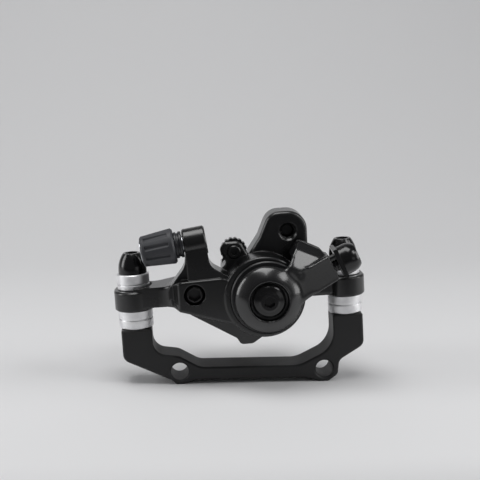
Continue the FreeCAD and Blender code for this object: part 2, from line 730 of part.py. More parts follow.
def outer_body():
    """Front half of the caliper: ears, plate, cable post, boss, tab and lobe."""
    core = slab(core_outline(), CORE_FRONT, ROTOR_Y)
    wall = disc(WALL_R, LUG_FRONT, NECK_BACK, HUB_X, HUB_Z)
    lobe = slab(lobe_outline(), LUG_FRONT, LUG_BACK)
    rims = [e for e in lobe.Edges if abs(e.BoundBox.YMax - LUG_FRONT) < 1e-6]
    lobe = lobe.makeFillet(LOBE_ROUND, rims)
    tab = slab(tab_outline(), LUG_FRONT, TAB_BACK)
    rims = [e for e in tab.Edges if abs(e.BoundBox.YMax - LUG_FRONT) < 1e-6]
    tab = tab.makeChamfer(0.6, rims)
    boss = disc(BOSS_R, BOSS_FRONT, LUG_FRONT + 0.5, HUB_X + BOSS_X, HUB_Z)
    rims = [e for e in boss.Edges if abs(e.BoundBox.YMax - BOSS_FRONT) < 1e-6]
    boss = boss.makeFillet(0.9, rims)
    plate = front_plate()
    plate = plate.makeFillet(PLATE_ROUND, plate_rims(plate))
    body = fused(core, wall, lobe, tab, boss, plate, cable_post(), left_neck(), right_neck(),
                 ear(-HALF_POSTS), ear(HALF_POSTS))
    for x in (-HALF_POSTS, HALF_POSTS):
        above, below = washer_room(x)
        body = body.cut(above).cut(below).cut(ear_slot(x))
    body = body.cut(rotor_slot()).cut(pad_room())

    # Actuator bore, its mouth for the dust ring and the piston's bore
    body = body.cut(disc(CHAMBER_R, BOSS_FRONT, CHAMBER_END, HUB_X, HUB_Z))
    body = body.cut(disc(DUST_RING_R + RUNNING_FIT, BOSS_FRONT, DUST_FRONT + DUST_RING_T, HUB_X, HUB_Z))
    body = body.cut(disc(PISTON_BORE_R, CHAMBER_END, ROTOR_Y, HUB_X, HUB_Z))

    # Front bolt: a flush head, then a clearance hole
    seat = PLATE_FRONT + BODY_BOLT_HEAD_H + 0.3
    body = body.cut(disc(BODY_BOLT_HEAD_R + HEAD_ROOM, PLATE_FRONT, seat, FRONT_BOLT_X, FRONT_BOLT_Z))
    body = body.cut(disc(M5_R + BODY_BOLT_FIT, seat, ROTOR_Y, FRONT_BOLT_X, FRONT_BOLT_Z))

    # Rear bolt: threaded into the lobe, with a countersunk mouth
    body = body.cut(disc(M5_R, LUG_FRONT, LUG_BACK, LOBE_X, LOBE_Z))
    mouth = Part.makeCone(M5_R + 0.75, M5_R, 0.75, Vec(LOBE_X, LUG_FRONT, LOBE_Z), BACK)
    body = body.cut(mouth)

    # Tab screw: its head is let into the tab
    body = body.cut(disc(TAB_SCREW_HEAD_R + 0.15, LUG_FRONT, LUG_FRONT + TAB_SCREW_DEPTH, TAB_X, TAB_Z))
    body = body.cut(disc(TAB_SCREW_R + RUNNING_FIT, LUG_FRONT, TAB_BACK, TAB_X, TAB_Z))

    # Cable: a threaded hole for the barrel's sleeve, then a small hole for the wire
    half = POST_BOSS_L / 2
    sleeve_hole = Part.makeCylinder(SLEEVE_THREAD_R + RUNNING_FIT, POST_BOSS_L - POST_WALL,
                                    cable_point(-half), cable_axis())
    wire_hole = Part.makeCylinder(CABLE_HOLE_R, POST_BOSS_L, cable_point(-half), cable_axis())
    return body.cut(sleeve_hole).cut(wire_hole)


# Inner body

def inner_outline():
    """Outline of the rear half, seen from the front."""
    return [
        (FRONT_BOLT_X - 4.7, FRONT_BOLT_Z - 4.9, 2.0),
        (FRONT_BOLT_X - 1.0, FRONT_BOLT_Z - 9.4, 3.0),
        (HUB_X - 11.0, HUB_Z - 16.0, 2.0),
        (HUB_X - 8.8, FIN_BOTTOM + 0.6, 2.0),
        (HUB_X - 4.8, FIN_BOTTOM + 0.6, 2.5),
        (HUB_X + 13.0, HUB_Z - 8.0, 7.0),
        (HUB_X + 15.4, HUB_Z + 6.0, 6.0),
        (LOBE_X + LOBE_R - 0.6, BRIDGE_HIGH, 2.0),
        (LOBE_X - LOBE_R + 1.3, BRIDGE_HIGH, 2.0),
        (HUB_X - 1.0, WINDOW_TOP, 2.0),
        (HUB_X - 13.2, WINDOW_TOP, 1.0),
        (HUB_X - 14.0, HUB_Z + 1.0, 1.5),
        (FRONT_BOLT_X + 6.7, HUB_Z + 1.0, 1.5),
        (FRONT_BOLT_X + 5.5, BRIDGE_TOP - 0.2, 2.5),
        (FRONT_BOLT_X - 2.4, BRIDGE_TOP - 0.2, 3.5),
    ]


def lug_outline():
    """Lug of the rear half that meets the lobe."""
    top = LOBE_Z + LOBE_R - 2.3
    left = LOBE_X - LOBE_R + 1.5
    right = LOBE_X + LOBE_R - 0.8
    return [
        (left, BRIDGE_LOW, 0),
        (left + 0.8, top, 4.2),
        (right - 0.2, top, 4.5),
        (right, BRIDGE_LOW, 0),
    ]


def inner_body():
    """Rear half of the caliper, with the inner pad's adjuster in its boss."""
    half = slab(inner_outline(), ROTOR_Y, INNER_BACK)
    rims = [e for e in half.Edges if abs(e.BoundBox.YMin - INNER_BACK) < 1e-6]
    half = half.makeChamfer(1.0, rims)
    back_top = WINDOW_TOP - DRAFT * (INNER_BACK - ROTOR_Y)
    left = FRONT_BOLT_X - 10.0
    section = Part.makePolygon([Vec(left, ROTOR_Y, WINDOW_TOP), Vec(left, INNER_BACK, back_top),
                                Vec(left, INNER_BACK, LOBE_Z), Vec(left, ROTOR_Y, LOBE_Z),
                                Vec(left, ROTOR_Y, WINDOW_TOP)])
    half = half.cut(Part.Face(section).extrude(Vec(HUB_X - 1.6 - left, 0, 0)))
    boss = disc(INNER_BOSS_R, INNER_BACK - 1.5, INNER_BOSS_BACK, HUB_X, PAD_Z)
    rims = [e for e in boss.Edges if abs(e.BoundBox.YMin - INNER_BOSS_BACK) < 1e-6]
    boss = boss.makeChamfer(0.6, rims)
    lug = slab(lug_outline(), LUG_BACK, LUG_END)
    bridge = slab([
        (LOBE_X - LOBE_R + 1.3, BRIDGE_LOW, 0),
        (LOBE_X - LOBE_R + 1.5, BRIDGE_HIGH, 1.5),
        (LOBE_X + LOBE_R - 1.0, BRIDGE_HIGH, 1.5),
        (LOBE_X + LOBE_R - 0.8, BRIDGE_LOW, 0),
    ], LUG_BACK, ROTOR_Y + 1.0)
    half = fused(half, boss, lug, bridge)
    half = half.cut(rotor_slot()).cut(pad_room())
    half = half.cut(disc(ADJUSTER_R + RUNNING_FIT, SLOT_BACK, INNER_BOSS_BACK, HUB_X, PAD_Z))
    half = half.cut(disc(M5_R, ROTOR_Y, INNER_BACK - 1.0, FRONT_BOLT_X, FRONT_BOLT_Z))

    # Rear bolt: a hole in the lug, and a trough by which its head comes in from behind
    half = half.cut(disc(M5_R + BODY_BOLT_FIT, LUG_BACK, LUG_END, LOBE_X, LOBE_Z))
    seat = LUG_END - BODY_BOLT_HEAD_H
    return half.cut(disc(BODY_BOLT_HEAD_R + HEAD_ROOM, seat, INNER_BACK, LOBE_X, LOBE_Z))


# Fasteners of the caliper

def cap_bolt(head_front, tip, x, z, direction):
    """Socket-head bolt along Y; head_front is the outer face of its head."""
    length = abs(tip - head_front)
    start = Vec(x, head_front, z)
    profile = [(0, 0), (BODY_BOLT_HEAD_R - BODY_BOLT_CHAMFER, 0), (BODY_BOLT_HEAD_R, BODY_BOLT_CHAMFER),
               (BODY_BOLT_HEAD_R, BODY_BOLT_HEAD_H), (M5_R, BODY_BOLT_HEAD_H), (M5_R, length - 0.6),
               (M5_R - 0.6, length), (0, length)]
    bolt = turned(profile, start, direction)
    return bolt.cut(hexagon(BODY_BOLT_SOCKET, BODY_BOLT_SOCKET_DEPTH, start, direction))


def front_body_bolt():
    return cap_bolt(PLATE_FRONT + 0.3, INNER_BACK - 1.6, FRONT_BOLT_X, FRONT_BOLT_Z, BACK)


def rear_body_bolt():
    return cap_bolt(LUG_END, LUG_FRONT + TIP_DEPTH, LOBE_X, LOBE_Z, FRONT)


def tab_screw():
    """Small socket screw let into the tab."""
    front = LUG_FRONT - TAB_SCREW_PROUD
    seat = LUG_FRONT + TAB_SCREW_DEPTH - front
    length = TAB_SCREW_END - front
    profile = [(0, 0), (TAB_SCREW_HEAD_R - 0.3, 0), (TAB_SCREW_HEAD_R, 0.3), (TAB_SCREW_HEAD_R, seat),
               (TAB_SCREW_R, seat), (TAB_SCREW_R, length - 0.5), (TAB_SCREW_R - 0.5, length), (0, length)]
    screw = turned(profile, Vec(TAB_X, front, TAB_Z), BACK)
    return screw.cut(hexagon(TAB_SCREW_SOCKET, TAB_SCREW_SOCKET_DEPTH, Vec(TAB_X, front, TAB_Z), BACK))


def tab_nut():
    """Toothed nut on the screw, against the back of the tab."""
    nut = ring(TAB_NUT_R, TAB_SCREW_R + RUNNING_FIT, TAB_BACK, TAB_BACK + TAB_NUT_T, TAB_X, TAB_Z)
    notches = []
    for i in range(TAB_NUT_TEETH):
        angle = 2 * math.pi * i / TAB_NUT_TEETH
        x = TAB_X + (TAB_NUT_R + 0.25) * math.cos(angle)
        z = TAB_Z + (TAB_NUT_R + 0.25) * math.sin(angle)
        notches.append(disc(0.6, TAB_BACK, TAB_BACK + TAB_NUT_T, x, z))
    return nut.cut(notches)


# Arm and cable clamp

def arm_direction():
    angle = math.radians(ARM_ANGLE)
    return Vec(math.cos(angle), 0, math.sin(angle))


def arm_point(along, across, y):
    x, z, _ = around_hub(along, across)
    return Vec(x, y, z)


def sloped_off(solid, near, far):
    """Cut away what stands in front of the slope from near to far, both (along, across, y)."""
    a = arm_point(*near)
    b = arm_point(*far)
    run = Vec(b.x - a.x, 0, b.z - a.z)
    run.normalize()
    side = Vec(-run.z, 0, run.x)
    slope = b - a
    slope.normalize()
    reach = 2 * ARM_END
    a = a - slope * reach
    b = b + slope * reach
    side = side * reach
    face = Part.Face(Part.makePolygon([a - side, b - side, b + side, a + side, a - side]))
    return solid.cut(face.extrude(FRONT * reach))


def actuator_arm():
    """Domed hub, cable cam and end block, cast in one piece."""
    web = slab([
        around_hub(-2.0, -8.0, 0),
        around_hub(9.0, -6.4, 0),
        around_hub(14.0, -5.7, 6.0),
        around_hub(ARM_END, ARM_BOTTOM, 1.0),
        around_hub(ARM_END, ARM_TOP, 0.8),
        around_hub(17.0, ARM_TOP, 0),
        around_hub(8.5, 7.0, 0),
        around_hub(-2.0, 9.0, 0),
    ], ARM_FRONT, CAM_BACK)
    web = sloped_off(web, (8.0, 0, ARM_FRONT), (ARM_END, 0, ARM_TIP_FRONT))

    # The cam falls back towards its rim in two steps, and on its right side
    along, across = CAM_CORNER
    end_along, end_across = CAM_END
    cam = slab([
        around_hub(8.0, 5.6, 0),
        around_hub(along, across, 1.2),
        around_hub(end_along, end_across, 1.0),
        around_hub(end_along + 0.8, end_across - 2.6, 0.8),
        around_hub(*CAM_FOOT, 0),
        around_hub(9.0, 0.0, 0),
    ], CAM_FRONT, CAM_BACK)
    side_front = CAM_STEP - CAM_SIDE_LEAD
    cam = sloped_off(cam, CAM_CREST + (CAM_FRONT,), CAM_KNEE + (CAM_STEP,))
    cam = sloped_off(cam, CAM_KNEE + (CAM_STEP,), CAM_RIM + (CAM_STEP + CAM_RIM_FALL,))
    cam = sloped_off(cam, CAM_SIDE + (side_front,), CAM_SIDE_END + (side_front + CAM_SIDE_FALL,))
    arm = fused(web, cam)

    # Behind, the arm clears the dust ring, and outside it the boss, which it nears as it turns
    reach = BOSS_R - BOSS_X + BOSS_CLEARANCE
    arm = arm.cut(disc(DUST_RING_R + BOSS_CLEARANCE, ARM_BACK, CAM_BACK + 1, HUB_X, HUB_Z))
    arm = arm.cut(disc(reach, BOSS_FRONT - TRAVEL - ARM_GAP, CAM_BACK + 1, HUB_X, HUB_Z))
    height = HUB_FRONT - ARM_BACK
    hub = domed(HUB_R, HUB_MID_R, HUB_RECESS_R + 0.6, 0, ARM_BACK - HUB_EDGE, -height)
    arm = fused(arm, in_frame(hub, Vec(HUB_X, ARM_BACK, HUB_Z), FRONT))
    arm = arm.cut(disc(HUB_RECESS_R, HUB_FRONT - 1, HUB_RECESS_FLOOR, HUB_X, HUB_Z))
    arm = arm.cut(hexagon(SPINDLE_HEX + 2 * RUNNING_FIT, ARM_BACK - HUB_RECESS_FLOOR,
                          Vec(HUB_X, HUB_RECESS_FLOOR, HUB_Z), BACK))

    # Cable groove along the outer edge of the cam, and a flat for the cable at the block
    groove_start = arm_point(along - 4.0, across + 4.7, CABLE_Y)
    groove_end = arm_point(end_along + 4.0, end_across - 4.7, CABLE_Y)
    run = groove_end - groove_start
    arm = arm.cut(Part.makeCylinder(GROOVE_R, run.Length, groove_start, run))

    # Threaded hole of the pinch bolt, and the hole that takes the spring's leg
    middle = (ARM_TOP + ARM_BOTTOM) / 2
    bore = Part.makeCylinder(M5_R + RUNNING_FIT, PINCH_THREAD,
                             arm_point(ARM_END - PINCH_THREAD, middle, PINCH_Y), arm_direction())
    arm = arm.cut(bore)
    leg_hole = disc(SPRING_WIRE_R + LEG_FIT, ARM_BACK - SPRING_LEG - LEG_ROOM, ARM_BACK,
                    HUB_X + RETURN_COIL_R, HUB_Z)
    tang_hole = Part.makeCylinder(TANG_R + TANG_FIT, TANG_HOLE_DEPTH,
                                  arm_point(ARM_END - TANG_HOLE_DEPTH, TANG_ACROSS, TANG_Y), arm_direction())
    return arm.cut(leg_hole).cut(tang_hole)


def arm_centre_bolt():
    """Domed flange bolt that holds the arm on the spindle."""
    start = Vec(HUB_X, HUB_RECESS_FLOOR, HUB_Z)
    tip = -CENTRE_BOLT_L
    profile = [(0, tip), (M5_R - 0.5, tip), (M5_R, tip + 0.5), (M5_R, 0), (CENTRE_HEAD_R, 0),
               (CENTRE_HEAD_R, 0.7), (4.9, 1.25), (3.6, 1.7), (2.9, CENTRE_HEAD_H), (0, CENTRE_HEAD_H)]
    bolt = turned(profile, start, FRONT)
    face = Vec(HUB_X, HUB_RECESS_FLOOR - CENTRE_HEAD_H, HUB_Z)
    return bolt.cut(hexagon(CENTRE_SOCKET, CENTRE_SOCKET_DEPTH, face, BACK))


def pinch_plate():
    """Clamp plate under the pinch bolt; its pin slides in a hole of the block."""
    middle = (ARM_TOP + ARM_BOTTOM) / 2
    near = ARM_END + PINCH_PLATE_GAP
    far = near + PINCH_PLATE_T
    half = PINCH_HEAD_R - 0.15
    plate = slab([
        around_hub(near, middle - half, 0.5),
        around_hub(far, middle - half, 0.5),
        around_hub(far, middle + half + 0.6, 0.6),
        around_hub(near, middle + half + 0.6, 0.3),
    ], PINCH_Y - 4.6, PINCH_Y + 4.2)
    tang = Part.makeCylinder(TANG_R, PINCH_PLATE_GAP + TANG_LENGTH,
                             arm_point(ARM_END - TANG_LENGTH, TANG_ACROSS, TANG_Y), arm_direction())
    bore = Part.makeCylinder(M5_R + 0.1, 8.0, arm_point(ARM_END - 2, middle, PINCH_Y), arm_direction())
    return fused(plate, tang).cut(bore)


def pinch_bolt():
    """Bolt with a rounded socket head that pulls the clamp plate on to the cable."""
    middle = (ARM_TOP + ARM_BOTTOM) / 2
    seat = ARM_END + PINCH_PLATE_GAP + PINCH_PLATE_T
    shank = PINCH_PLATE_GAP + PINCH_PLATE_T + 8.4
    head = domed(PINCH_HEAD_R, PINCH_HEAD_MID_R, PINCH_HEAD_TOP_R, 0, PINCH_HEAD_RIM, PINCH_HEAD_H)
    bolt = fused(head, Part.makeCylinder(M5_R, shank, Vec(0, 0, -shank), UP))
    floor = PINCH_HEAD_H - PINCH_SOCKET_DEPTH
    bolt = bolt.cut(hexagon(PINCH_SOCKET, PINCH_SOCKET_DEPTH, Vec(0, 0, floor), UP))
    return in_frame(bolt, arm_point(seat, middle, PINCH_Y), arm_direction())


# Ball and ramp mechanism

def coil(mean_r, wire_r, front, back, turns):
    """Round wire wound about the actuator axis, with its ends cut square."""
    pitch = (back - front - 2 * wire_r) / turns
    helix = Part.makeHelix(pitch, pitch * turns, mean_r)
    section = Part.Wire([Part.makeCircle(wire_r, Vec(mean_r, 0, 0), Vec(0, 1, 0))])
    spring = Part.Wire(helix.Edges).makePipeShell([section], True, True)
    spring.Placement = FreeCAD.Placement(Vec(HUB_X, front + wire_r, HUB_Z), FreeCAD.Rotation(UP, BACK))
    return spring


def dust_ring():
    """Ring let into the mouth of the bore, about the return spring."""
    bore = RETURN_COIL_R + SPRING_WIRE_R + 0.35
    ring_solid = ring(DUST_RING_R, bore, DUST_FRONT, DUST_FRONT + DUST_RING_T, HUB_X, HUB_Z)
    rims = [e for e in ring_solid.Edges if abs(e.BoundBox.YMax - DUST_FRONT) < 1e-6]
    return ring_solid.makeChamfer(0.4, rims)


def return_spring():
    """Torsion spring with one leg in the arm and the other in the ball plate."""
    front = ARM_BACK
    back = BALL_PLATE_BACK - BALL_PLATE_T
    spring = coil(RETURN_COIL_R, SPRING_WIRE_R, front, back, 2.5)
    front_leg = disc(SPRING_WIRE_R, front - SPRING_LEG, front + SPRING_WIRE_R, HUB_X + RETURN_COIL_R, HUB_Z)
    back_leg = disc(SPRING_WIRE_R, back - SPRING_WIRE_R, back + SPRING_LEG, HUB_X - RETURN_COIL_R, HUB_Z)
    return fused(spring, front_leg, back_leg)


def ball_centres():
    centres = []
    for i in range(BALL_COUNT):
        angle = math.radians(90 + FULL_TURN / BALL_COUNT * i)
        centres.append(Vec(HUB_X + BALL_CIRCLE_R * math.cos(angle), BALL_Y,
                           HUB_Z + BALL_CIRCLE_R * math.sin(angle)))
    return centres


def ball_plate():
    """Fixed plate with three round pockets, keyed in the body's bore."""
    front = BALL_PLATE_BACK - BALL_PLATE_T
    plate = ring(CHAMBER_R, SPINDLE_R + RUNNING_FIT, front, BALL_PLATE_BACK, HUB_X, HUB_Z)
    leg_hole = disc(SPRING_WIRE_R + LEG_FIT, front, front + SPRING_LEG + LEG_ROOM,
                    HUB_X - RETURN_COIL_R, HUB_Z)
    return plate.cut([leg_hole] + [Part.makeSphere(BALL_R + BALL_FIT, c) for c in ball_centres()])


def ramp_balls():
    return Part.makeCompound([Part.makeSphere(BALL_R, c) for c in ball_centres()])


def ramp(angle_start):
    """Helical groove about the Y axis: as the spindle turns, the fixed ball meets shallower ground."""
    groove_r = BALL_R + BALL_FIT
    helix = Part.makeHelix(LEAD_PER_DEGREE * FULL_TURN, TRAVEL, BALL_CIRCLE_R, 0, True)
    section = Part.Wire([Part.makeCircle(groove_r, Vec(BALL_CIRCLE_R, 0, 0), Vec(0, 1, 0))])
    groove = Part.Wire(helix.Edges).makePipeShell([section], True, True)
    last = -math.radians(ARM_TRAVEL)
    start = Vec(BALL_CIRCLE_R, 0, 0)
    end = Vec(BALL_CIRCLE_R * math.cos(last), BALL_CIRCLE_R * math.sin(last), TRAVEL)
    cutters = [groove, Part.makeSphere(groove_r, start), Part.makeSphere(groove_r, end)]
    for shape in cutters:
        shape.rotate(Vec(0, 0, 0), UP, angle_start)
        shape.rotate(Vec(0, 0, 0), Vec(1, 0, 0), 90)
        shape.translate(Vec(0, BALL_Y, 0))
    return cutters


def drive_spindle():
    """Shaft with a flange; three helical ramps are cut in the flange's front."""
    spindle = disc(CHAMBER_R - 0.4, FLANGE_FRONT, FLANGE_BACK)
    shaft = disc(SPINDLE_R, ARM_BACK, FLANGE_FRONT)
    drive_front = HUB_RECESS_FLOOR + 0.1
    drive = hexagon(SPINDLE_HEX, ARM_BACK - drive_front, Vec(0, drive_front, 0), BACK)
    spindle = fused(spindle, shaft, drive)
    for i in range(BALL_COUNT):
        for cutter in ramp(90 + FULL_TURN / BALL_COUNT * i):
            spindle = spindle.cut(cutter)
    spindle = spindle.cut(disc(M5_R + RUNNING_FIT, HUB_RECESS_FLOOR, HUB_RECESS_FLOOR + 9.0))
    spindle.translate(Vec(HUB_X, 0, HUB_Z))
    return spindle


def thrust_washer():
    return ring(CHAMBER_R - 0.6, 3.0, FLANGE_BACK, PISTON_FRONT, HUB_X, HUB_Z)


def push_piston():
    """Flanged piston that pushes the outer pad."""
    flange = disc(CHAMBER_R - 0.3, PISTON_FRONT, PISTON_FRONT + PISTON_FLANGE_T, HUB_X, HUB_Z)
    stem = disc(PISTON_R, PISTON_FRONT, OUTER_PLATE_FRONT, HUB_X, HUB_Z)
    piston = fused(flange, stem)
    seat = disc(PISTON_MAGNET_R, OUTER_PLATE_FRONT - MAGNET_T - 0.1, OUTER_PLATE_FRONT, HUB_X, HUB_Z)
    return piston.cut(seat)


def outer_magnet():
    """Magnet in the piston's face, which holds the outer pad."""
    return disc(PISTON_MAGNET_R, OUTER_PLATE_FRONT - MAGNET_T - 0.1, OUTER_PLATE_FRONT - 0.1, HUB_X, HUB_Z)


def piston_spring():
    front = PISTON_FRONT + PISTON_FLANGE_T
    mean_r = (PISTON_R + CHAMBER_R) / 2
    return coil(mean_r, SPRING_WIRE_R, front, CHAMBER_END, 2.75)


# Pads

def pad_plate(front):
    """Steel backing of a pad."""
    half_w = PAD_W / 2
    half_h = PAD_H / 2
    return slab([
        (HUB_X - half_w, PAD_Z + half_h, 2.4),
        (HUB_X - half_w, PAD_Z - half_h + 2, 5.0),
        (HUB_X - 4.0, PAD_Z - half_h - 1.4, 4.0),
        (HUB_X + 4.0, PAD_Z - half_h - 1.4, 4.0),
        (HUB_X + half_w, PAD_Z - half_h + 2, 5.0),
        (HUB_X + half_w, PAD_Z + half_h, 4.4),
    ], front, front + PAD_PLATE_T)


def lining(front):
    """Friction lining, a little smaller than its backing all round."""
    half_w = PAD_W / 2 - LINING_MARGIN
    half_h = PAD_H / 2 - LINING_MARGIN
    return slab([
        (HUB_X - half_w, PAD_Z + half_h, 3.0),
        (HUB_X - half_w, PAD_Z - half_h + 1, 4.5),
        (HUB_X - 3.6, PAD_Z - half_h - 1.0, 4.0),
        (HUB_X + 3.6, PAD_Z - half_h - 1.0, 4.0),
        (HUB_X + half_w, PAD_Z - half_h + 1, 4.5),
        (HUB_X + half_w, PAD_Z + half_h, 4.0),
    ], front, front + LINING_T)


# Inner pad adjuster

def inner_adjuster():
    """Threaded disc behind the inner pad, with a lobed knob outside."""
    knob_front = INNER_BOSS_BACK + KNOB_GAP
    knob_back = knob_front + KNOB_T
    shank = disc(ADJUSTER_R, INNER_PLATE_BACK, knob_front, HUB_X, PAD_Z)
    groove_back = INNER_BOSS_BACK - ADJUSTER_GROOVE_IN
    groove = ring(ADJUSTER_R, ADJUSTER_R - ADJUSTER_GROOVE, groove_back - ADJUSTER_GROOVE_W,
                  groove_back, HUB_X, PAD_Z)
    magnet_seat = disc(ADJUSTER_MAGNET_R, INNER_PLATE_BACK, INNER_PLATE_BACK + MAGNET_T + 0.1, HUB_X, PAD_Z)
    knob = disc(KNOB_R, knob_front, knob_back, HUB_X, PAD_Z)
    rims = [e for e in knob.Edges if isinstance(e.Curve, Part.Circle)]
    knob = knob.makeChamfer(0.5, rims)
    notches = []
    for i in range(KNOB_LOBES):
        angle = 2 * math.pi * i / KNOB_LOBES
        x = HUB_X + (KNOB_R + 0.8) * math.cos(angle)
        z = PAD_Z + (KNOB_R + 0.8) * math.sin(angle)
        notches.append(disc(1.4, knob_front, knob_back, x, z))
    socket = hexagon(KNOB_SOCKET, KNOB_SOCKET_DEPTH, Vec(HUB_X, knob_back - KNOB_SOCKET_DEPTH, PAD_Z), BACK)
    return fused(shank, knob.cut(notches)).cut([groove, magnet_seat, socket])


def inner_magnet():
    """Magnet in the adjuster's face, which holds the inner pad."""
    return disc(ADJUSTER_MAGNET_R, INNER_PLATE_BACK + 0.1, INNER_PLATE_BACK + MAGNET_T + 0.1, HUB_X, PAD_Z)


def adjuster_ring():
    """Rubber ring in the adjuster's groove, which holds it by friction."""
    back = INNER_BOSS_BACK - ADJUSTER_GROOVE_IN - RING_PLAY
    front = back + 2 * RING_PLAY - ADJUSTER_GROOVE_W
    return ring(ADJUSTER_R, ADJUSTER_R - ADJUSTER_GROOVE, front, back, HUB_X, PAD_Z)


# Barrel adjuster

def on_cable(profile, along):
    """Turned piece on the cable's axis; heights grow towards the arm."""
    return turned(profile, cable_point(along), cable_axis())


def barrel_start():
    """Outer end of the barrel, measured from the middle of the post."""
    return -POST_BOSS_L / 2 - 0.3 - COLLAR_L - COVER_L


def adjuster_sleeve():
    """Hollow screw: seat for the cable housing, then a hole for the wire."""
    start = barrel_start() - 0.3
    head = COVER_L + 0.1
    length = POST_BOSS_L / 2 - POST_WALL - 0.2 - start
    profile = [(HOUSING_R, 0), (SLEEVE_HEAD_R, 0), (SLEEVE_HEAD_R, head), (SLEEVE_THREAD_R, head),
               (SLEEVE_THREAD_R, length), (CABLE_HOLE_R, length), (CABLE_HOLE_R, HOUSING_DEPTH),
               (HOUSING_R, HOUSING_DEPTH)]
    return on_cable(profile, start)


def adjuster_cover():
    """Tapered cover with lengthwise flutes, to turn the sleeve by hand."""
    start = barrel_start()
    bore = SLEEVE_HEAD_R + RUNNING_FIT
    profile = [(bore, 0), (COVER_R_FAR - 0.5, 0), (COVER_R_FAR, 0.5), (COVER_R_NEAR, COVER_L - 0.6),
               (COVER_R_NEAR - 0.6, COVER_L), (bore, COVER_L)]
    cover = on_cable(profile, start)
    flutes = []
    for i in range(COVER_FLUTES):
        angle = 2 * math.pi * i / COVER_FLUTES
        slim = COVER_FLUTE_R - 0.5
        base_far = Vec((COVER_R_FAR + slim) * math.cos(angle), (COVER_R_FAR + slim) * math.sin(angle), 1.2)
        base_near = Vec((COVER_R_NEAR + slim) * math.cos(angle), (COVER_R_NEAR + slim) * math.sin(angle),
                        COVER_L - 2.0)
        run = base_near - base_far
        flute = Part.makeCylinder(COVER_FLUTE_R, run.Length, base_far, run)
        flutes.append(in_frame(Part.makeCompound([flute]), cable_point(start), cable_axis()))
    return cover.cut(flutes)


def adjuster_collar():
    """Ringed collar between the cover and the post."""
    start = barrel_start() + COVER_L
    bore = SLEEVE_THREAD_R + RUNNING_FIT
    third = COLLAR_L / 3
    valley = COLLAR_R - COLLAR_GROOVE
    profile = [(bore, 0.05), (COLLAR_R - 0.2, 0.05), (COLLAR_R, 0.25), (COLLAR_R, third),
               (valley, third + 0.15), (valley, 2 * third - 0.15), (COLLAR_R, 2 * third),
               (COLLAR_R, COLLAR_L - 0.2), (COLLAR_R - 0.2, COLLAR_L), (bore, COLLAR_L)]
    return on_cable(profile, start)


def nodes():
    """Every separate piece by name, in the part's frame."""
    lower_cups = cup_washer(WASHER_R, LOWER_CUP_H, 0)
    lower_balls = ball_washer(WASHER_R, LOWER_BALL_H, LOWER_CUP_H)
    upper_cups = cup_washer(UPPER_WASHER_R, UPPER_CUP_H, EAR_TOP)
    upper_balls = ball_washer(UPPER_WASHER_R, UPPER_BALL_H, EAR_TOP + UPPER_CUP_H)
    pieces = {
        "mount_adapter": mount_adapter(),
        "lower_cup_washers": on_both_posts(lower_cups),
        "lower_ball_washers": on_both_posts(lower_balls),
        "upper_cup_washers": on_both_posts(upper_cups),
        "upper_ball_washers": on_both_posts(upper_balls),
        "mounting_bolts": on_both_posts(mounting_bolt()),
    }
    level = {
        "outer_body": outer_body(),
        "inner_body": inner_body(),
        "front_body_bolt": front_body_bolt(),
        "rear_body_bolt": rear_body_bolt(),
        "tab_screw": tab_screw(),
        "tab_nut": tab_nut(),
        "dust_ring": dust_ring(),
        "actuator_arm": actuator_arm(),
        "arm_centre_bolt": arm_centre_bolt(),
        "pinch_plate": pinch_plate(),
        "pinch_bolt": pinch_bolt(),
        "return_spring": return_spring(),
        "ball_plate": ball_plate(),
        "ramp_balls": ramp_balls(),
        "drive_spindle": drive_spindle(),
        "thrust_washer": thrust_washer(),
        "push_piston": push_piston(),
        "outer_magnet": outer_magnet(),
        "piston_spring": piston_spring(),
        "outer_pad_plate": pad_plate(OUTER_PLATE_FRONT),
        "outer_pad_lining": lining(OUTER_PLATE_BACK),
        "inner_pad_plate": pad_plate(INNER_PLATE_FRONT),
        "inner_pad_lining": lining(INNER_LINING_FACE),
        "inner_adjuster": inner_adjuster(),
        "inner_magnet": inner_magnet(),
        "adjuster_ring": adjuster_ring(),
        "adjuster_sleeve": adjuster_sleeve(),
        "adjuster_cover": adjuster_cover(),
        "adjuster_collar": adjuster_collar(),
    }
    for name, shape in level.items():
        pieces[name] = tilted(shape)
    return pieces


def main():
    os.makedirs("parts", exist_ok=True)
    for name, shape in nodes().items():
        box = shape.BoundBox
        print("%-20s solids %d valid %s volume %8.1f  x %6.1f %6.1f  y %6.1f %6.1f  z %6.1f %6.1f" % (
            name, len(shape.Solids), shape.isValid(), shape.Volume,
            box.XMin, box.XMax, box.YMin, box.YMax, box.ZMin, box.ZMax))
        shape.exportStep("parts/%s.step" % name)


main()
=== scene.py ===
# %% [markdown]
# # A cable-pulled disc brake caliper on its frame bracket
# The caliper is bolted together from castings, turned washers, bolts and a small cable adjuster.
# Its shape was built as solids elsewhere. This lesson dresses those solids: it looks at what each
# piece is made of, builds that finish from nodes, softens the cast arm, and adds the fine screw
# threads that show. One unit is a metre, so sizes in millimetres go through one small function.

# %% Load the solids
import math
import bmesh
import bpy
from mathutils import Matrix, Vector


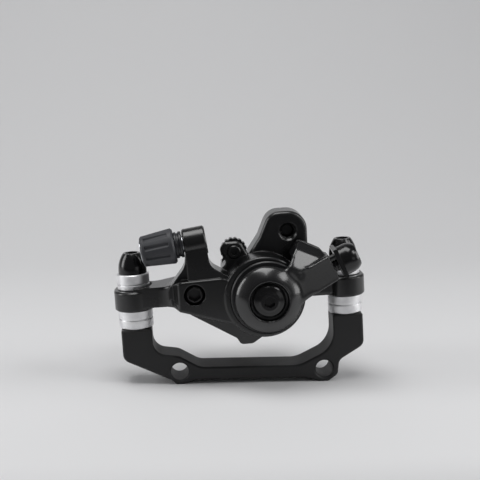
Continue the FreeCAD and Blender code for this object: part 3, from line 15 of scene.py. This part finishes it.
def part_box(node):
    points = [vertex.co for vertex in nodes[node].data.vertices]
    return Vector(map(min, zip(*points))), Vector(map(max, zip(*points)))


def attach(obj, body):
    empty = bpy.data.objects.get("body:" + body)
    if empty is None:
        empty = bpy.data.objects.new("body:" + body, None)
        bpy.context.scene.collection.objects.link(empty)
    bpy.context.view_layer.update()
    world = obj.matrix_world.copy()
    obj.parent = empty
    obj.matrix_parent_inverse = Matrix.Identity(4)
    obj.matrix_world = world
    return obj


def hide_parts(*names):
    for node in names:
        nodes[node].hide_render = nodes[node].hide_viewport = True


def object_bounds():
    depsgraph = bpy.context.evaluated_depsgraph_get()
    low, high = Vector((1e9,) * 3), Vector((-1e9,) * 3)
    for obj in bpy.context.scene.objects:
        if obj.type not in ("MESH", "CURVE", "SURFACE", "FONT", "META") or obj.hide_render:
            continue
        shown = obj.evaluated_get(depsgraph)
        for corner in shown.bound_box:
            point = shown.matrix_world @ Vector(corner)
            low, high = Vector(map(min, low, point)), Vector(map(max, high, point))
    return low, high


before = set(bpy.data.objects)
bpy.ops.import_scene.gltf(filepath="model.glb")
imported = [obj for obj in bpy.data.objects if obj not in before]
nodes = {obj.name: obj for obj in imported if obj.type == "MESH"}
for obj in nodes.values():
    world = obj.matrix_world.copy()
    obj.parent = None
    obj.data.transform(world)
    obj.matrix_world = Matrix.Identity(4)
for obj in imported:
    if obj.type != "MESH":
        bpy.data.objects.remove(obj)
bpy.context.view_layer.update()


def mm(value):
    return value / 1000


print("pieces:", len(nodes))

# %% [markdown]
# ## Camera
# A product photo like this is taken from a little above and a little to the left, with a long
# lens, so that the two frame holes stay nearly level. A long lens could be faked by moving the
# camera away and cropping. Here distance and focal length are set together, because
# they also fix how much of the top faces shows.

# %% Camera from the front, a little above
AIM = Vector((mm(-4.0), 0, mm(45.5)))
AZIMUTH = math.radians(-4.0)
ELEVATION = math.radians(10.25)
DISTANCE = mm(380)
SENSOR = 36.0
IMAGE_WIDTH = 480
PIXELS_PER_MM = 2.862

towards_camera = Vector((math.sin(AZIMUTH) * math.cos(ELEVATION),
                         -math.cos(AZIMUTH) * math.cos(ELEVATION),
                         math.sin(ELEVATION)))
camera_data = bpy.data.cameras.new("front_camera")
camera_data.sensor_width = SENSOR
camera_data.lens = PIXELS_PER_MM * DISTANCE * 1000 * SENSOR / IMAGE_WIDTH
camera_data.clip_start = mm(10)
camera = bpy.data.objects.new("front_camera", camera_data)
bpy.context.scene.collection.objects.link(camera)
camera.location = AIM + towards_camera * DISTANCE
camera.rotation_euler = towards_camera.to_track_quat("Z", "Y").to_euler()
bpy.context.scene.camera = camera
print("lens in mm:", round(camera_data.lens, 1))

# %% [markdown]
# ## Node helpers
# A finish is a small graph. Writing `nodes.new` and three lines of settings for each node
# hides what the graph does, so one function adds a node of any kind with its settings and
# links. Colours are written as a paint chart gives them, in sRGB hex, and are turned into
# the linear values that the renderer needs.

# %% Colour and node helpers
def linear(code):
    """sRGB hex such as "1a1b1c" to a linear RGBA colour."""
    channels = [int(code[i:i + 2], 16) / 255 for i in (0, 2, 4)]
    return [c / 12.92 if c <= 0.04045 else ((c + 0.055) / 1.055) ** 2.4 for c in channels] + [1.0]


def add(tree, kind, settings=None, **links):
    """Adds a node; settings holds attributes and socket values, links feeds its inputs."""
    made = tree.nodes.new(kind)
    for key, value in (settings or {}).items():
        if isinstance(key, int) or key in made.inputs:
            made.inputs[key].default_value = value
        else:
            setattr(made, key, value)
    for key, source in links.items():
        slot = int(key[1:]) if key[0] == "i" and key[1:].isdigit() else key.replace("_", " ")
        tree.links.new(source, made.inputs[slot])
    return made


def start_finish(name):
    """A new material with its shader and the piece's own coordinates."""
    material = bpy.data.materials.new(name)
    material.use_nodes = True
    tree = material.node_tree
    tree.nodes.clear()
    shader = add(tree, "ShaderNodeBsdfPrincipled")
    add(tree, "ShaderNodeOutputMaterial", Surface=shader.outputs["BSDF"])
    place = add(tree, "ShaderNodeTexCoord").outputs["Object"]
    return material, tree, shader, place


def per_metre(size_in_mm):
    """Texture scale whose pattern repeats about once in that size."""
    return 1000.0 / size_in_mm


# %% [markdown]
# ## Gloss black castings
# The two halves of the caliper are die-cast aluminium under black powder coat. Powder coat
# flows as it cures, so it has a hard gloss, a slight orange-peel ripple about a millimetre
# across, and softened edges. The softened edges could be modelled on each solid. The Bevel
# node rounds the shading instead, which keeps the solids exact and still lets each edge
# catch a thin line of light.

# %% Powder-coated die-cast aluminium
CLOUD_MM = 9.0
BEVEL_SAMPLES = 6


def vary(tree, source, usual, below, above):
    """Spreads a texture's 0 to 1 over usual - below to usual + above, for a roughness."""
    return add(tree, "ShaderNodeMapRange", {"To Min": usual - below, "To Max": usual + above},
               Value=source)


def powder_coat(name, colour, roughness, peel_mm, peel_depth_mm, edge_mm, coat):
    """Gloss powder coat: peel is the ripple, edge the rounding, coat the share of clear gloss."""
    material, tree, shader, place = start_finish(name)
    edge = add(tree, "ShaderNodeBevel", {"samples": BEVEL_SAMPLES, "Radius": mm(edge_mm)})
    peel = add(tree, "ShaderNodeTexNoise",
               {"Scale": per_metre(peel_mm), "Detail": 2.0, "Roughness": 0.4}, Vector=place)
    skin = add(tree, "ShaderNodeBump", {"Strength": 1.0, "Distance": mm(peel_depth_mm)},
               Height=peel.outputs[0], Normal=edge.outputs[0])
    cloud = add(tree, "ShaderNodeTexNoise", {"Scale": per_metre(CLOUD_MM), "Detail": 3.0},
                Vector=place)
    gloss = vary(tree, cloud.outputs[0], roughness, 0.03, 0.05)
    shader.inputs["Base Color"].default_value = linear(colour)
    shader.inputs["Coat Weight"].default_value = coat
    shader.inputs["Coat Roughness"].default_value = 0.1
    tree.links.new(gloss.outputs[0], shader.inputs["Roughness"])
    tree.links.new(skin.outputs[0], shader.inputs["Normal"])
    tree.links.new(skin.outputs[0], shader.inputs["Coat Normal"])
    return material


casting_finish = powder_coat("powder_coated_casting", "0b0b0c", roughness=0.27, peel_mm=1.1,
                             peel_depth_mm=0.006, edge_mm=0.55, coat=0.3)
arm_finish = powder_coat("powder_coated_arm", "101011", roughness=0.24, peel_mm=1.3,
                         peel_depth_mm=0.004, edge_mm=0.6, coat=0.5)
print("finishes:", casting_finish.name, arm_finish.name)

# %% [markdown]
# ## Satin bracket
# The bracket is cut from aluminium plate, blasted and anodised black. Anodising copies the
# blasted surface, so it looks even and satin, with a fine grain. A bump of small noise cells
# does that. The true grain is about 0.05 mm, too fine to show here, so it is drawn at 0.35 mm.

# %% Black anodised, blasted aluminium
PATCH_MM = 6.0


def anodised(name, colour, roughness, grain_mm):
    """Blasted and anodised metal: an even satin with a fine grain."""
    material, tree, shader, place = start_finish(name)
    edge = add(tree, "ShaderNodeBevel", {"samples": BEVEL_SAMPLES, "Radius": mm(0.4)})
    grain = add(tree, "ShaderNodeTexNoise", {"Scale": per_metre(grain_mm), "Detail": 3.0},
                Vector=place)
    skin = add(tree, "ShaderNodeBump", {"Strength": 0.6, "Distance": mm(0.02)},
               Height=grain.outputs[0], Normal=edge.outputs[0])
    patches = add(tree, "ShaderNodeTexNoise", {"Scale": per_metre(PATCH_MM), "Detail": 2.0},
                  Vector=place)
    gloss = vary(tree, patches.outputs[0], roughness, 0.05, 0.06)
    shader.inputs["Base Color"].default_value = linear(colour)
    shader.inputs["Specular IOR Level"].default_value = 0.4
    tree.links.new(gloss.outputs[0], shader.inputs["Roughness"])
    tree.links.new(skin.outputs[0], shader.inputs["Normal"])
    return material


bracket_finish = anodised("black_anodised_plate", "1c1c1d", roughness=0.5, grain_mm=0.35)
print("finish:", bracket_finish.name)

# %% [markdown]
# ## Turned washers
# The dished washers are turned from bar and left bright. A lathe tool leaves fine rings round
# the axis, which on the rim show as thin level lines. The bolts lean by a few degrees, so the
# pattern is leaned with them by a Mapping node. A Wave texture in bands gives the lines, and
# noise breaks them up, as a real tool mark is never quite even. That texture counts in radians:
# its wave turns through 20 of them in one unit, so the scale is divided by 20.

# %% Bright turned aluminium
BOLT_LEAN = math.radians(3.36)
WAVE_RADIANS = 20
SMUDGE_MM = 3.5


def turned_metal(name, colour, dark, roughness, radian_mm):
    """Bright metal with tool lines, where radian_mm is the length of one radian of their wave."""
    material, tree, shader, place = start_finish(name)
    upright = add(tree, "ShaderNodeMapping", {"Rotation": (0, BOLT_LEAN, 0)}, Vector=place)
    lines = add(tree, "ShaderNodeTexWave", {"wave_type": "BANDS", "bands_direction": "Z",
                                            "Scale": per_metre(radian_mm) / WAVE_RADIANS,
                                            "Distortion": 1.2, "Detail": 3.0,
                                            "Detail Scale": 4.0},
                Vector=upright.outputs[0])
    smudge = add(tree, "ShaderNodeTexNoise", {"Scale": per_metre(SMUDGE_MM), "Detail": 4.0},
                 Vector=place)
    tone = add(tree, "ShaderNodeValToRGB", Fac=smudge.outputs[0])
    tone.color_ramp.elements[0].position = 0.3
    tone.color_ramp.elements[0].color = linear(dark)
    tone.color_ramp.elements[1].position = 0.55
    tone.color_ramp.elements[1].color = linear(colour)
    edge = add(tree, "ShaderNodeBevel", {"samples": BEVEL_SAMPLES, "Radius": mm(0.25)})
    skin = add(tree, "ShaderNodeBump", {"Strength": 0.5, "Distance": mm(0.02)},
               Height=lines.outputs[1], Normal=edge.outputs[0])
    gloss = vary(tree, smudge.outputs[0], roughness, 0.08, 0.1)
    shader.inputs["Metallic"].default_value = 1.0
    tree.links.new(tone.outputs[0], shader.inputs["Base Color"])
    tree.links.new(gloss.outputs[0], shader.inputs["Roughness"])
    tree.links.new(skin.outputs[0], shader.inputs["Normal"])
    return material


washer_finish = turned_metal("turned_aluminium", "f6f6f7", "e4e4e6", 0.46, 0.3)
zinc_finish = turned_metal("zinc_plated_steel", "c9cbcf", "b2b4b8", 0.3, 0.4)
spring_finish = turned_metal("spring_steel_wire", "9b9c9f", "86878a", 0.32, 0.5)
magnet_finish = turned_metal("nickel_plated_magnet", "c8c4bb", "b4b0a8", 0.22, 0.6)
ball_finish = turned_metal("polished_bearing_steel", "d6d7da", "d0d1d4", 0.12, 2.0)
print("metals ready")

# %% [markdown]
# ## Blackened screws
# The bolts are steel with a black conversion coat and a film of oil. That coat is thin, so a
# little of the metal's sheen comes through and the socket edges wear to grey. Edge wear could
# be painted by hand. Geometry's Pointiness finds the worn edges by itself.

# %% Black oxide steel
GRAIN_MM = 0.5
COLOUR_A, COLOUR_B = 6, 7  # the colour sockets of a Mix node


def black_oxide(name, colour, worn, roughness):
    """Black steel with a film of oil, whose sharp edges are worn towards grey."""
    material, tree, shader, place = start_finish(name)
    edge = add(tree, "ShaderNodeBevel", {"samples": BEVEL_SAMPLES, "Radius": mm(0.3)})
    grain = add(tree, "ShaderNodeTexNoise", {"Scale": per_metre(GRAIN_MM), "Detail": 3.0},
                Vector=place)
    skin = add(tree, "ShaderNodeBump", {"Strength": 0.4, "Distance": mm(0.01)},
               Height=grain.outputs[0], Normal=edge.outputs[0])
    point = add(tree, "ShaderNodeNewGeometry")
    wear = add(tree, "ShaderNodeMapRange", {"From Min": 0.56, "From Max": 0.7, "To Max": 0.5},
               Value=point.outputs["Pointiness"])
    mixed = add(tree, "ShaderNodeMix", {"data_type": "RGBA"}, i0=wear.outputs[0])
    mixed.inputs[COLOUR_A].default_value = linear(colour)
    mixed.inputs[COLOUR_B].default_value = linear(worn)
    gloss = vary(tree, grain.outputs[0], roughness, 0.05, 0.08)
    shader.inputs["Metallic"].default_value = 0.35
    shader.inputs["Coat Weight"].default_value = 0.35
    shader.inputs["Coat Roughness"].default_value = 0.15
    tree.links.new(mixed.outputs[2], shader.inputs["Base Color"])
    tree.links.new(gloss.outputs[0], shader.inputs["Roughness"])
    tree.links.new(skin.outputs[0], shader.inputs["Normal"])
    return material


bolt_finish = black_oxide("black_oxide_steel", "111112", "2c2c2e", 0.3)
gloss_bolt_finish = black_oxide("polished_black_steel", "0d0d0e", "242426", 0.2)
print("finishes:", bolt_finish.name, gloss_bolt_finish.name)

# %% [markdown]
# ## Moulded plastic and rubber
# The ribbed cover is glass-filled nylon from a spark-eroded mould: dark grey and matt, with a
# pebbled skin. The collar and the knob are smoother mouldings, and the ring is rubber. All are
# one recipe with other numbers, so one function makes them.

# %% Moulded nylon, acetal and rubber
DRIFT_MM = 4.0


def moulded(name, colour, roughness, pebble_mm, pebble_depth_mm):
    """Moulded plastic or rubber with the pebbled skin of its mould."""
    material, tree, shader, place = start_finish(name)
    edge = add(tree, "ShaderNodeBevel", {"samples": BEVEL_SAMPLES, "Radius": mm(0.3)})
    pebble = add(tree, "ShaderNodeTexVoronoi",
                 {"Scale": per_metre(pebble_mm), "feature": "SMOOTH_F1"}, Vector=place)
    skin = add(tree, "ShaderNodeBump", {"Strength": 0.7, "Distance": mm(pebble_depth_mm)},
               Height=pebble.outputs["Distance"], Normal=edge.outputs[0])
    drift = add(tree, "ShaderNodeTexNoise", {"Scale": per_metre(DRIFT_MM), "Detail": 2.0},
                Vector=place)
    gloss = vary(tree, drift.outputs[0], roughness, 0.05, 0.05)
    shader.inputs["Base Color"].default_value = linear(colour)
    tree.links.new(gloss.outputs[0], shader.inputs["Roughness"])
    tree.links.new(skin.outputs[0], shader.inputs["Normal"])
    return material


cover_finish = moulded("glass_filled_nylon", "36373b", 0.5, 0.45, 0.03)
collar_finish = moulded("moulded_nylon", "242529", 0.38, 0.6, 0.015)
knob_finish = moulded("moulded_acetal_knob", "1b1b1d", 0.4, 0.6, 0.015)
thrust_finish = moulded("acetal_bearing", "d8d4c6", 0.45, 0.8, 0.01)
rubber_finish = moulded("nitrile_rubber", "151515", 0.65, 0.5, 0.02)
dust_finish = moulded("nylon_dust_ring", "1a1a1c", 0.35, 0.7, 0.01)
print("mouldings ready")

# %% [markdown]
# ## Brake pads
# A lining is pressed from metal powder, fibre and resin. Coppery and grey grains about a third
# of a millimetre across lie in a dark brown binder, and the faces are matt. A Voronoi texture
# gives each grain one random colour, which a ramp sorts into binder, grey metal and copper.

# %% Sintered lining and its painted backing
LINING_GRAIN_MM = 0.34
GREY_FROM = 0.62
COPPER_FROM = 0.86
lining_finish, tree, shader, place = start_finish("sintered_lining")
grains = add(tree, "ShaderNodeTexVoronoi", {"Scale": per_metre(LINING_GRAIN_MM)}, Vector=place)
which = add(tree, "ShaderNodeSeparateColor", i0=grains.outputs["Color"])
sorted_grains = add(tree, "ShaderNodeValToRGB", Fac=which.outputs[0])
sorted_grains.color_ramp.interpolation = "CONSTANT"
sorted_grains.color_ramp.elements[0].color = linear("3b322c")
sorted_grains.color_ramp.elements[1].position = GREY_FROM
sorted_grains.color_ramp.elements[1].color = linear("77726c")
copper = sorted_grains.color_ramp.elements.new(COPPER_FROM)
copper.color = linear("8f5a3c")
pits = add(tree, "ShaderNodeBump", {"Strength": 0.8, "Distance": mm(0.05)},
           Height=grains.outputs["Distance"])
tree.links.new(sorted_grains.outputs[0], shader.inputs["Base Color"])
tree.links.new(pits.outputs[0], shader.inputs["Normal"])
shader.inputs["Roughness"].default_value = 0.8
backing_finish = anodised("painted_pad_backing", "303032", roughness=0.45, grain_mm=0.5)
print("finish:", lining_finish.name)

# %% [markdown]
# ## Giving each solid its finish
# Each solid keeps its shape and gets one of the finishes above, by name. Only the arm is
# replaced, in the next section, by a softened copy.

# %% Dress the solids
finishes = {
    bracket_finish: ["mount_adapter"],
    casting_finish: ["outer_body", "inner_body"],
    arm_finish: ["actuator_arm"],
    washer_finish: ["lower_cup_washers", "lower_ball_washers",
                    "upper_cup_washers", "upper_ball_washers"],
    gloss_bolt_finish: ["mounting_bolts", "arm_centre_bolt", "pinch_bolt"],
    bolt_finish: ["front_body_bolt", "rear_body_bolt", "tab_screw", "tab_nut", "pinch_plate"],
    dust_finish: ["dust_ring"],
    zinc_finish: ["ball_plate", "drive_spindle", "push_piston", "adjuster_sleeve"],
    spring_finish: ["return_spring", "piston_spring"],
    ball_finish: ["ramp_balls"],
    magnet_finish: ["outer_magnet", "inner_magnet"],
    thrust_finish: ["thrust_washer"],
    backing_finish: ["outer_pad_plate", "inner_pad_plate"],
    lining_finish: ["outer_pad_lining", "inner_pad_lining"],
    knob_finish: ["inner_adjuster"],
    rubber_finish: ["adjuster_ring"],
    cover_finish: ["adjuster_cover"],
    collar_finish: ["adjuster_collar"],
}
dressed = set()
for finish, names in finishes.items():
    for name in names:
        nodes[name].data.materials.clear()
        nodes[name].data.materials.append(finish)
        dressed.add(name)
print("bare pieces:", sorted(set(nodes) - dressed))

# %% [markdown]
# ## The cast arm
# The arm is one casting: its hub, web and cable cam run into each other over soft hollows, and
# no outer edge is sharp. The solid underneath has the same forms with plain joints. Rounding each
# edge by hand would be slow where slopes cross. A voxel remesh followed by smoothing rounds them
# all alike, and a second pass with a weight for each vertex widens the hollow round the hub.

# %% A softened copy of the arm
VOXEL = mm(0.3)
SAME_POINT = mm(0.001)
EDGE_PASSES = 10
HOLLOW_PASSES = 90
SMOOTH_FACTOR = 0.5
HOLLOW_INSIDE = (8.3, 9.8)  # mm from the hub's axis: no smoothing, then all of it
HOLLOW_OUTSIDE = (17.0, 14.0)
HOLLOW_BACK = mm(-17.0)  # behind this the arm keeps its shape


def middle(node):
    """The middle of a solid's box."""
    low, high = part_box(node)
    return (low + high) / 2


def triangles(mesh):
    return sum(len(face.vertices) - 2 for face in mesh.polygons)


def plain_copy(source, name):
    """Copy of an object's mesh with its loose triangles merged."""
    mesh = source.data.copy()
    mesh.name = name
    work = bmesh.new()
    work.from_mesh(mesh)
    bmesh.ops.remove_doubles(work, verts=work.verts, dist=SAME_POINT)
    work.to_mesh(mesh)
    work.free()
    piece = bpy.data.objects.new(name, mesh)
    bpy.context.scene.collection.objects.link(piece)
    return piece


def bake(piece):
    """Turns a piece's modifiers into its mesh."""
    shown = piece.evaluated_get(bpy.context.evaluated_depsgraph_get())
    mesh = bpy.data.meshes.new_from_object(shown)
    piece.modifiers.clear()
    piece.data = mesh


def smooth(piece, name, passes):
    """Adds a smoothing modifier to a piece."""
    modifier = piece.modifiers.new(name, "SMOOTH")
    modifier.factor = SMOOTH_FACTOR
    modifier.iterations = passes
    return modifier


def ramp(value, start, end):
    """0 up to start, 1 from end on, and straight between them."""
    return min(1.0, max(0.0, (value - start) / (end - start)))


cast_arm = plain_copy(nodes["actuator_arm"], "cast_arm")
remesh = cast_arm.modifiers.new("voxels", "REMESH")
remesh.mode = "VOXEL"
remesh.voxel_size = VOXEL
smooth(cast_arm, "edges", EDGE_PASSES)
bake(cast_arm)

hub = middle("arm_centre_bolt")
hollow = cast_arm.vertex_groups.new(name="hollow")
for vertex in cast_arm.data.vertices:
    away = math.hypot(vertex.co.x - hub.x, vertex.co.z - hub.z) * 1000
    weight = ramp(away, *HOLLOW_INSIDE) * ramp(away, *HOLLOW_OUTSIDE)
    if weight > 0 and vertex.co.y < HOLLOW_BACK:
        hollow.add([vertex.index], weight, "REPLACE")
smooth(cast_arm, "hollow", HOLLOW_PASSES).vertex_group = "hollow"
bake(cast_arm)
cast_arm.vertex_groups.clear()
cast_arm.data.polygons.foreach_set("use_smooth", [True] * len(cast_arm.data.polygons))
cast_arm.data.materials.clear()
cast_arm.data.materials.append(arm_finish)
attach(cast_arm, "arm")
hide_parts("actuator_arm")
print("cast arm triangles:", triangles(cast_arm.data))

# %% [markdown]
# ## Screw threads
# The solids keep their screws plain. A thread is one ridge that winds round the shank, so it
# follows a rule, and Geometry Nodes can build it: a helix, a small square on its corner swept
# along it and a material. Pitch, radius and turns are inputs, so one tree serves every thread.
# A real ridge has fixed flanks of 60 degrees, so its width follows from the pitch.

# %% The thread tree
HELIX_POINTS = 28  # in one turn
thread_tree = bpy.data.node_groups.new("screw_thread", "GeometryNodeTree")
for name, kind, default in (("Radius", "NodeSocketFloat", mm(2.5)),
                            ("Pitch", "NodeSocketFloat", mm(0.8)),
                            ("Turns", "NodeSocketFloat", 3.0),
                            ("Ridge", "NodeSocketFloat", mm(0.3)),
                            ("Finish", "NodeSocketMaterial", None)):
    socket = thread_tree.interface.new_socket(name, in_out="INPUT", socket_type=kind)
    if default is not None:
        socket.default_value = default
thread_tree.interface.new_socket("Thread", in_out="OUTPUT", socket_type="NodeSocketGeometry")
given = add(thread_tree, "NodeGroupInput").outputs
height = add(thread_tree, "ShaderNodeMath", {"operation": "MULTIPLY"},
             i0=given["Pitch"], i1=given["Turns"])
helix = add(thread_tree, "GeometryNodeCurveSpiral", {"Resolution": HELIX_POINTS},
            Rotations=given["Turns"], Start_Radius=given["Radius"], End_Radius=given["Radius"],
            Height=height.outputs[0])
section = add(thread_tree, "GeometryNodeCurvePrimitiveCircle", {"Resolution": 4},
              Radius=given["Ridge"])
ridge = add(thread_tree, "GeometryNodeCurveToMesh", {"Fill Caps": True}, Curve=helix.outputs[0],
            Profile_Curve=section.outputs[0])
plain = add(thread_tree, "GeometryNodeRealizeInstances", Geometry=ridge.outputs[0])
painted = add(thread_tree, "GeometryNodeSetMaterial",
              Geometry=plain.outputs[0], Material=given["Finish"])
add(thread_tree, "NodeGroupOutput", Thread=painted.outputs[0])
print("thread tree nodes:", len(thread_tree.nodes))

# %% [markdown]
# Each thread is grown by the tree along its own axis, turned into a plain mesh, and only then
# moved to its screw, so that the object itself stays at the origin.

# %% Threads that show
PITCH = 0.8  # in mm, as are the sizes below
RIDGE_SHARE = 0.36  # of the pitch
BODY_BOLT_R = 2.5
LOBE_FACE = -5.5
LOBE_THREAD_END = 1.2  # how far the thread stays behind the lobe's face
PINCH_R = 2.4
ARM_LEAN = math.radians(25.56)
CLAMP_ALONG = 24.9  # from the hub's axis to the clamp's gap, along the arm
CLAMP_BELOW = 0.7
CLAMP_Y = -12.0
CLAMP_THREAD = 1.4  # of the gap's 1.8


def thread(name, body, finish, start, direction, radius_mm, length_mm):
    """Winds one thread from start along direction and lets it ride on a body."""
    blank = bpy.data.objects.new(name + "_blank", bpy.data.meshes.new(name + "_blank"))
    bpy.context.scene.collection.objects.link(blank)
    modifier = blank.modifiers.new("thread", "NODES")
    modifier.node_group = thread_tree
    wanted = {"Radius": mm(radius_mm), "Pitch": mm(PITCH), "Turns": length_mm / PITCH,
              "Ridge": mm(PITCH * RIDGE_SHARE), "Finish": finish}
    for item in thread_tree.interface.items_tree:
        if item.in_out == "INPUT":
            modifier[item.identifier] = wanted[item.name]
    shown = blank.evaluated_get(bpy.context.evaluated_depsgraph_get())
    mesh = bpy.data.meshes.new_from_object(shown)
    bpy.data.objects.remove(blank)
    turn = Vector(direction).to_track_quat("Z", "Y").to_matrix().to_4x4()
    mesh.transform(Matrix.Translation(Vector(start)) @ turn)
    piece = bpy.data.objects.new(name, mesh)
    bpy.context.scene.collection.objects.link(piece)
    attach(piece, body)
    print(name, "triangles:", triangles(mesh))


lobe_bolt = middle("rear_body_bolt")
bolt_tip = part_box("rear_body_bolt")[0].y
thread("lobe_hole_thread", "caliper", casting_finish,
       (lobe_bolt.x, bolt_tip, lobe_bolt.z), (0, -1, 0), BODY_BOLT_R,
       bolt_tip * 1000 - LOBE_FACE - LOBE_THREAD_END)
along = Vector((math.cos(ARM_LEAN), 0, math.sin(ARM_LEAN)))
across = Vector((-math.sin(ARM_LEAN), 0, math.cos(ARM_LEAN)))
gap_start = hub + along * mm(CLAMP_ALONG) - across * mm(CLAMP_BELOW)
thread("pinch_bolt_thread", "arm", gloss_bolt_finish,
       (gap_start.x, mm(CLAMP_Y), gap_start.z), along, PINCH_R, CLAMP_THREAD)

# %% [markdown]
# ## Floor and light
# A black gloss part shows little of its own colour: what the eye reads is the reflection of
# the lamps. Hard lamps would give small sparks. Large soft panels above and at the sides, with
# two at the right for the cam and the arm, give the long bright bands of a studio photo, and a
# pale floor that curves up behind keeps every edge readable. The paper's colour holds painted
# shade: a hand's width in front of the part it is painted down to dark grey, so the upright
# faces mirror that painted shade and a dim room, and stay black.

# %% Pale floor that curves up into a backdrop, with painted shade in front
# where the painted shade on the paper starts and ends, in metres along y
SHADE_PAINT_NEAR = -0.075
SHADE_PAINT_FAR = -0.17
SWEEP_R = 0.35
SWEEP_STEP = 6  # degrees
BACK_Y = 0.55
BACK_TOP = 1.6
FRONT_Y = -1.6
HALF_WIDTH = 1.5
floor_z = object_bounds()[0].z
floor_finish, tree, shader, place = start_finish("pale_paper_with_painted_shade")
depth = add(tree, "ShaderNodeSeparateXYZ", Vector=place)
# painted shade: the paper's colour runs from dark grey in front of the part to pale near it
painted_shade_fade = add(tree, "ShaderNodeMapRange", {"interpolation_type": "SMOOTHSTEP", "From Min": SHADE_PAINT_FAR,
                                        "From Max": SHADE_PAINT_NEAR}, Value=depth.outputs["Y"])
paper_and_painted_shade = add(tree, "ShaderNodeMix", {"data_type": "RGBA"}, i0=painted_shade_fade.outputs[0])
# dark grey of the painted shade in front of the part
paper_and_painted_shade.inputs[COLOUR_A].default_value = linear("58585a")
paper_and_painted_shade.inputs[COLOUR_B].default_value = linear("dededf")
tree.links.new(paper_and_painted_shade.outputs[2], shader.inputs["Base Color"])
shader.inputs["Roughness"].default_value = 0.8
paper = add(tree, "ShaderNodeTexNoise", {"Scale": per_metre(2.0), "Detail": 2.0}, Vector=place)
tooth = add(tree, "ShaderNodeBump", {"Strength": 0.1, "Distance": mm(0.05)},
            Height=paper.outputs[0])
tree.links.new(tooth.outputs[0], shader.inputs["Normal"])

profile = [(FRONT_Y, 0.0), (BACK_Y - SWEEP_R, 0.0)]
for step in range(SWEEP_STEP, 90 + 1, SWEEP_STEP):
    angle = math.radians(step)
    profile.append((BACK_Y - SWEEP_R + SWEEP_R * math.sin(angle),
                    SWEEP_R - SWEEP_R * math.cos(angle)))
profile.append((BACK_Y, BACK_TOP))
floor_points = [(side, y, floor_z + z) for side in (-HALF_WIDTH, HALF_WIDTH) for y, z in profile]
count = len(profile)
floor_faces = [(i, i + count, i + count + 1, i + 1) for i in range(count - 1)]
floor_mesh = bpy.data.meshes.new("paper_sweep")
floor_mesh.from_pydata(floor_points, [], floor_faces)
floor_mesh.polygons.foreach_set("use_smooth", [True] * len(floor_mesh.polygons))
floor_mesh.materials.append(floor_finish)
floor = bpy.data.objects.new("paper_sweep", floor_mesh)
bpy.context.scene.collection.objects.link(floor)


# %% Soft panels and a dim room
ROOM_COLOUR = "b8b9bb"
ROOM_STRENGTH = 0.25


def panel(name, place, size, watts):
    """A soft rectangular lamp, aimed at the part."""
    light = bpy.data.lights.new(name, "AREA")
    light.shape = "RECTANGLE"
    light.size, light.size_y = size
    light.energy = watts
    lamp = bpy.data.objects.new(name, light)
    bpy.context.scene.collection.objects.link(lamp)
    lamp.location = place
    lamp.rotation_euler = (Vector(place) - AIM).to_track_quat("Z", "Y").to_euler()


panel("top_panel", (-0.08, -0.08, 0.62), (0.45, 0.3), 2.1)
panel("left_panel", (-0.55, -0.02, 0.22), (0.2, 0.4), 1.2)
panel("right_panel", (0.55, -0.06, 0.22), (0.2, 0.4), 1.0)
panel("cam_panel", (0.38, -0.22, 0.46), (0.2, 0.2), 0.65)
panel("arm_panel", (0.38, -0.5, 0.06), (0.25, 0.3), 0.13)
room = bpy.data.worlds.new("grey_room")
bpy.context.scene.world = room
room.use_nodes = True
room.node_tree.nodes["Background"].inputs["Color"].default_value = linear(ROOM_COLOUR)
room.node_tree.nodes["Background"].inputs["Strength"].default_value = ROOM_STRENGTH
bpy.context.scene.view_settings.view_transform = "Standard"
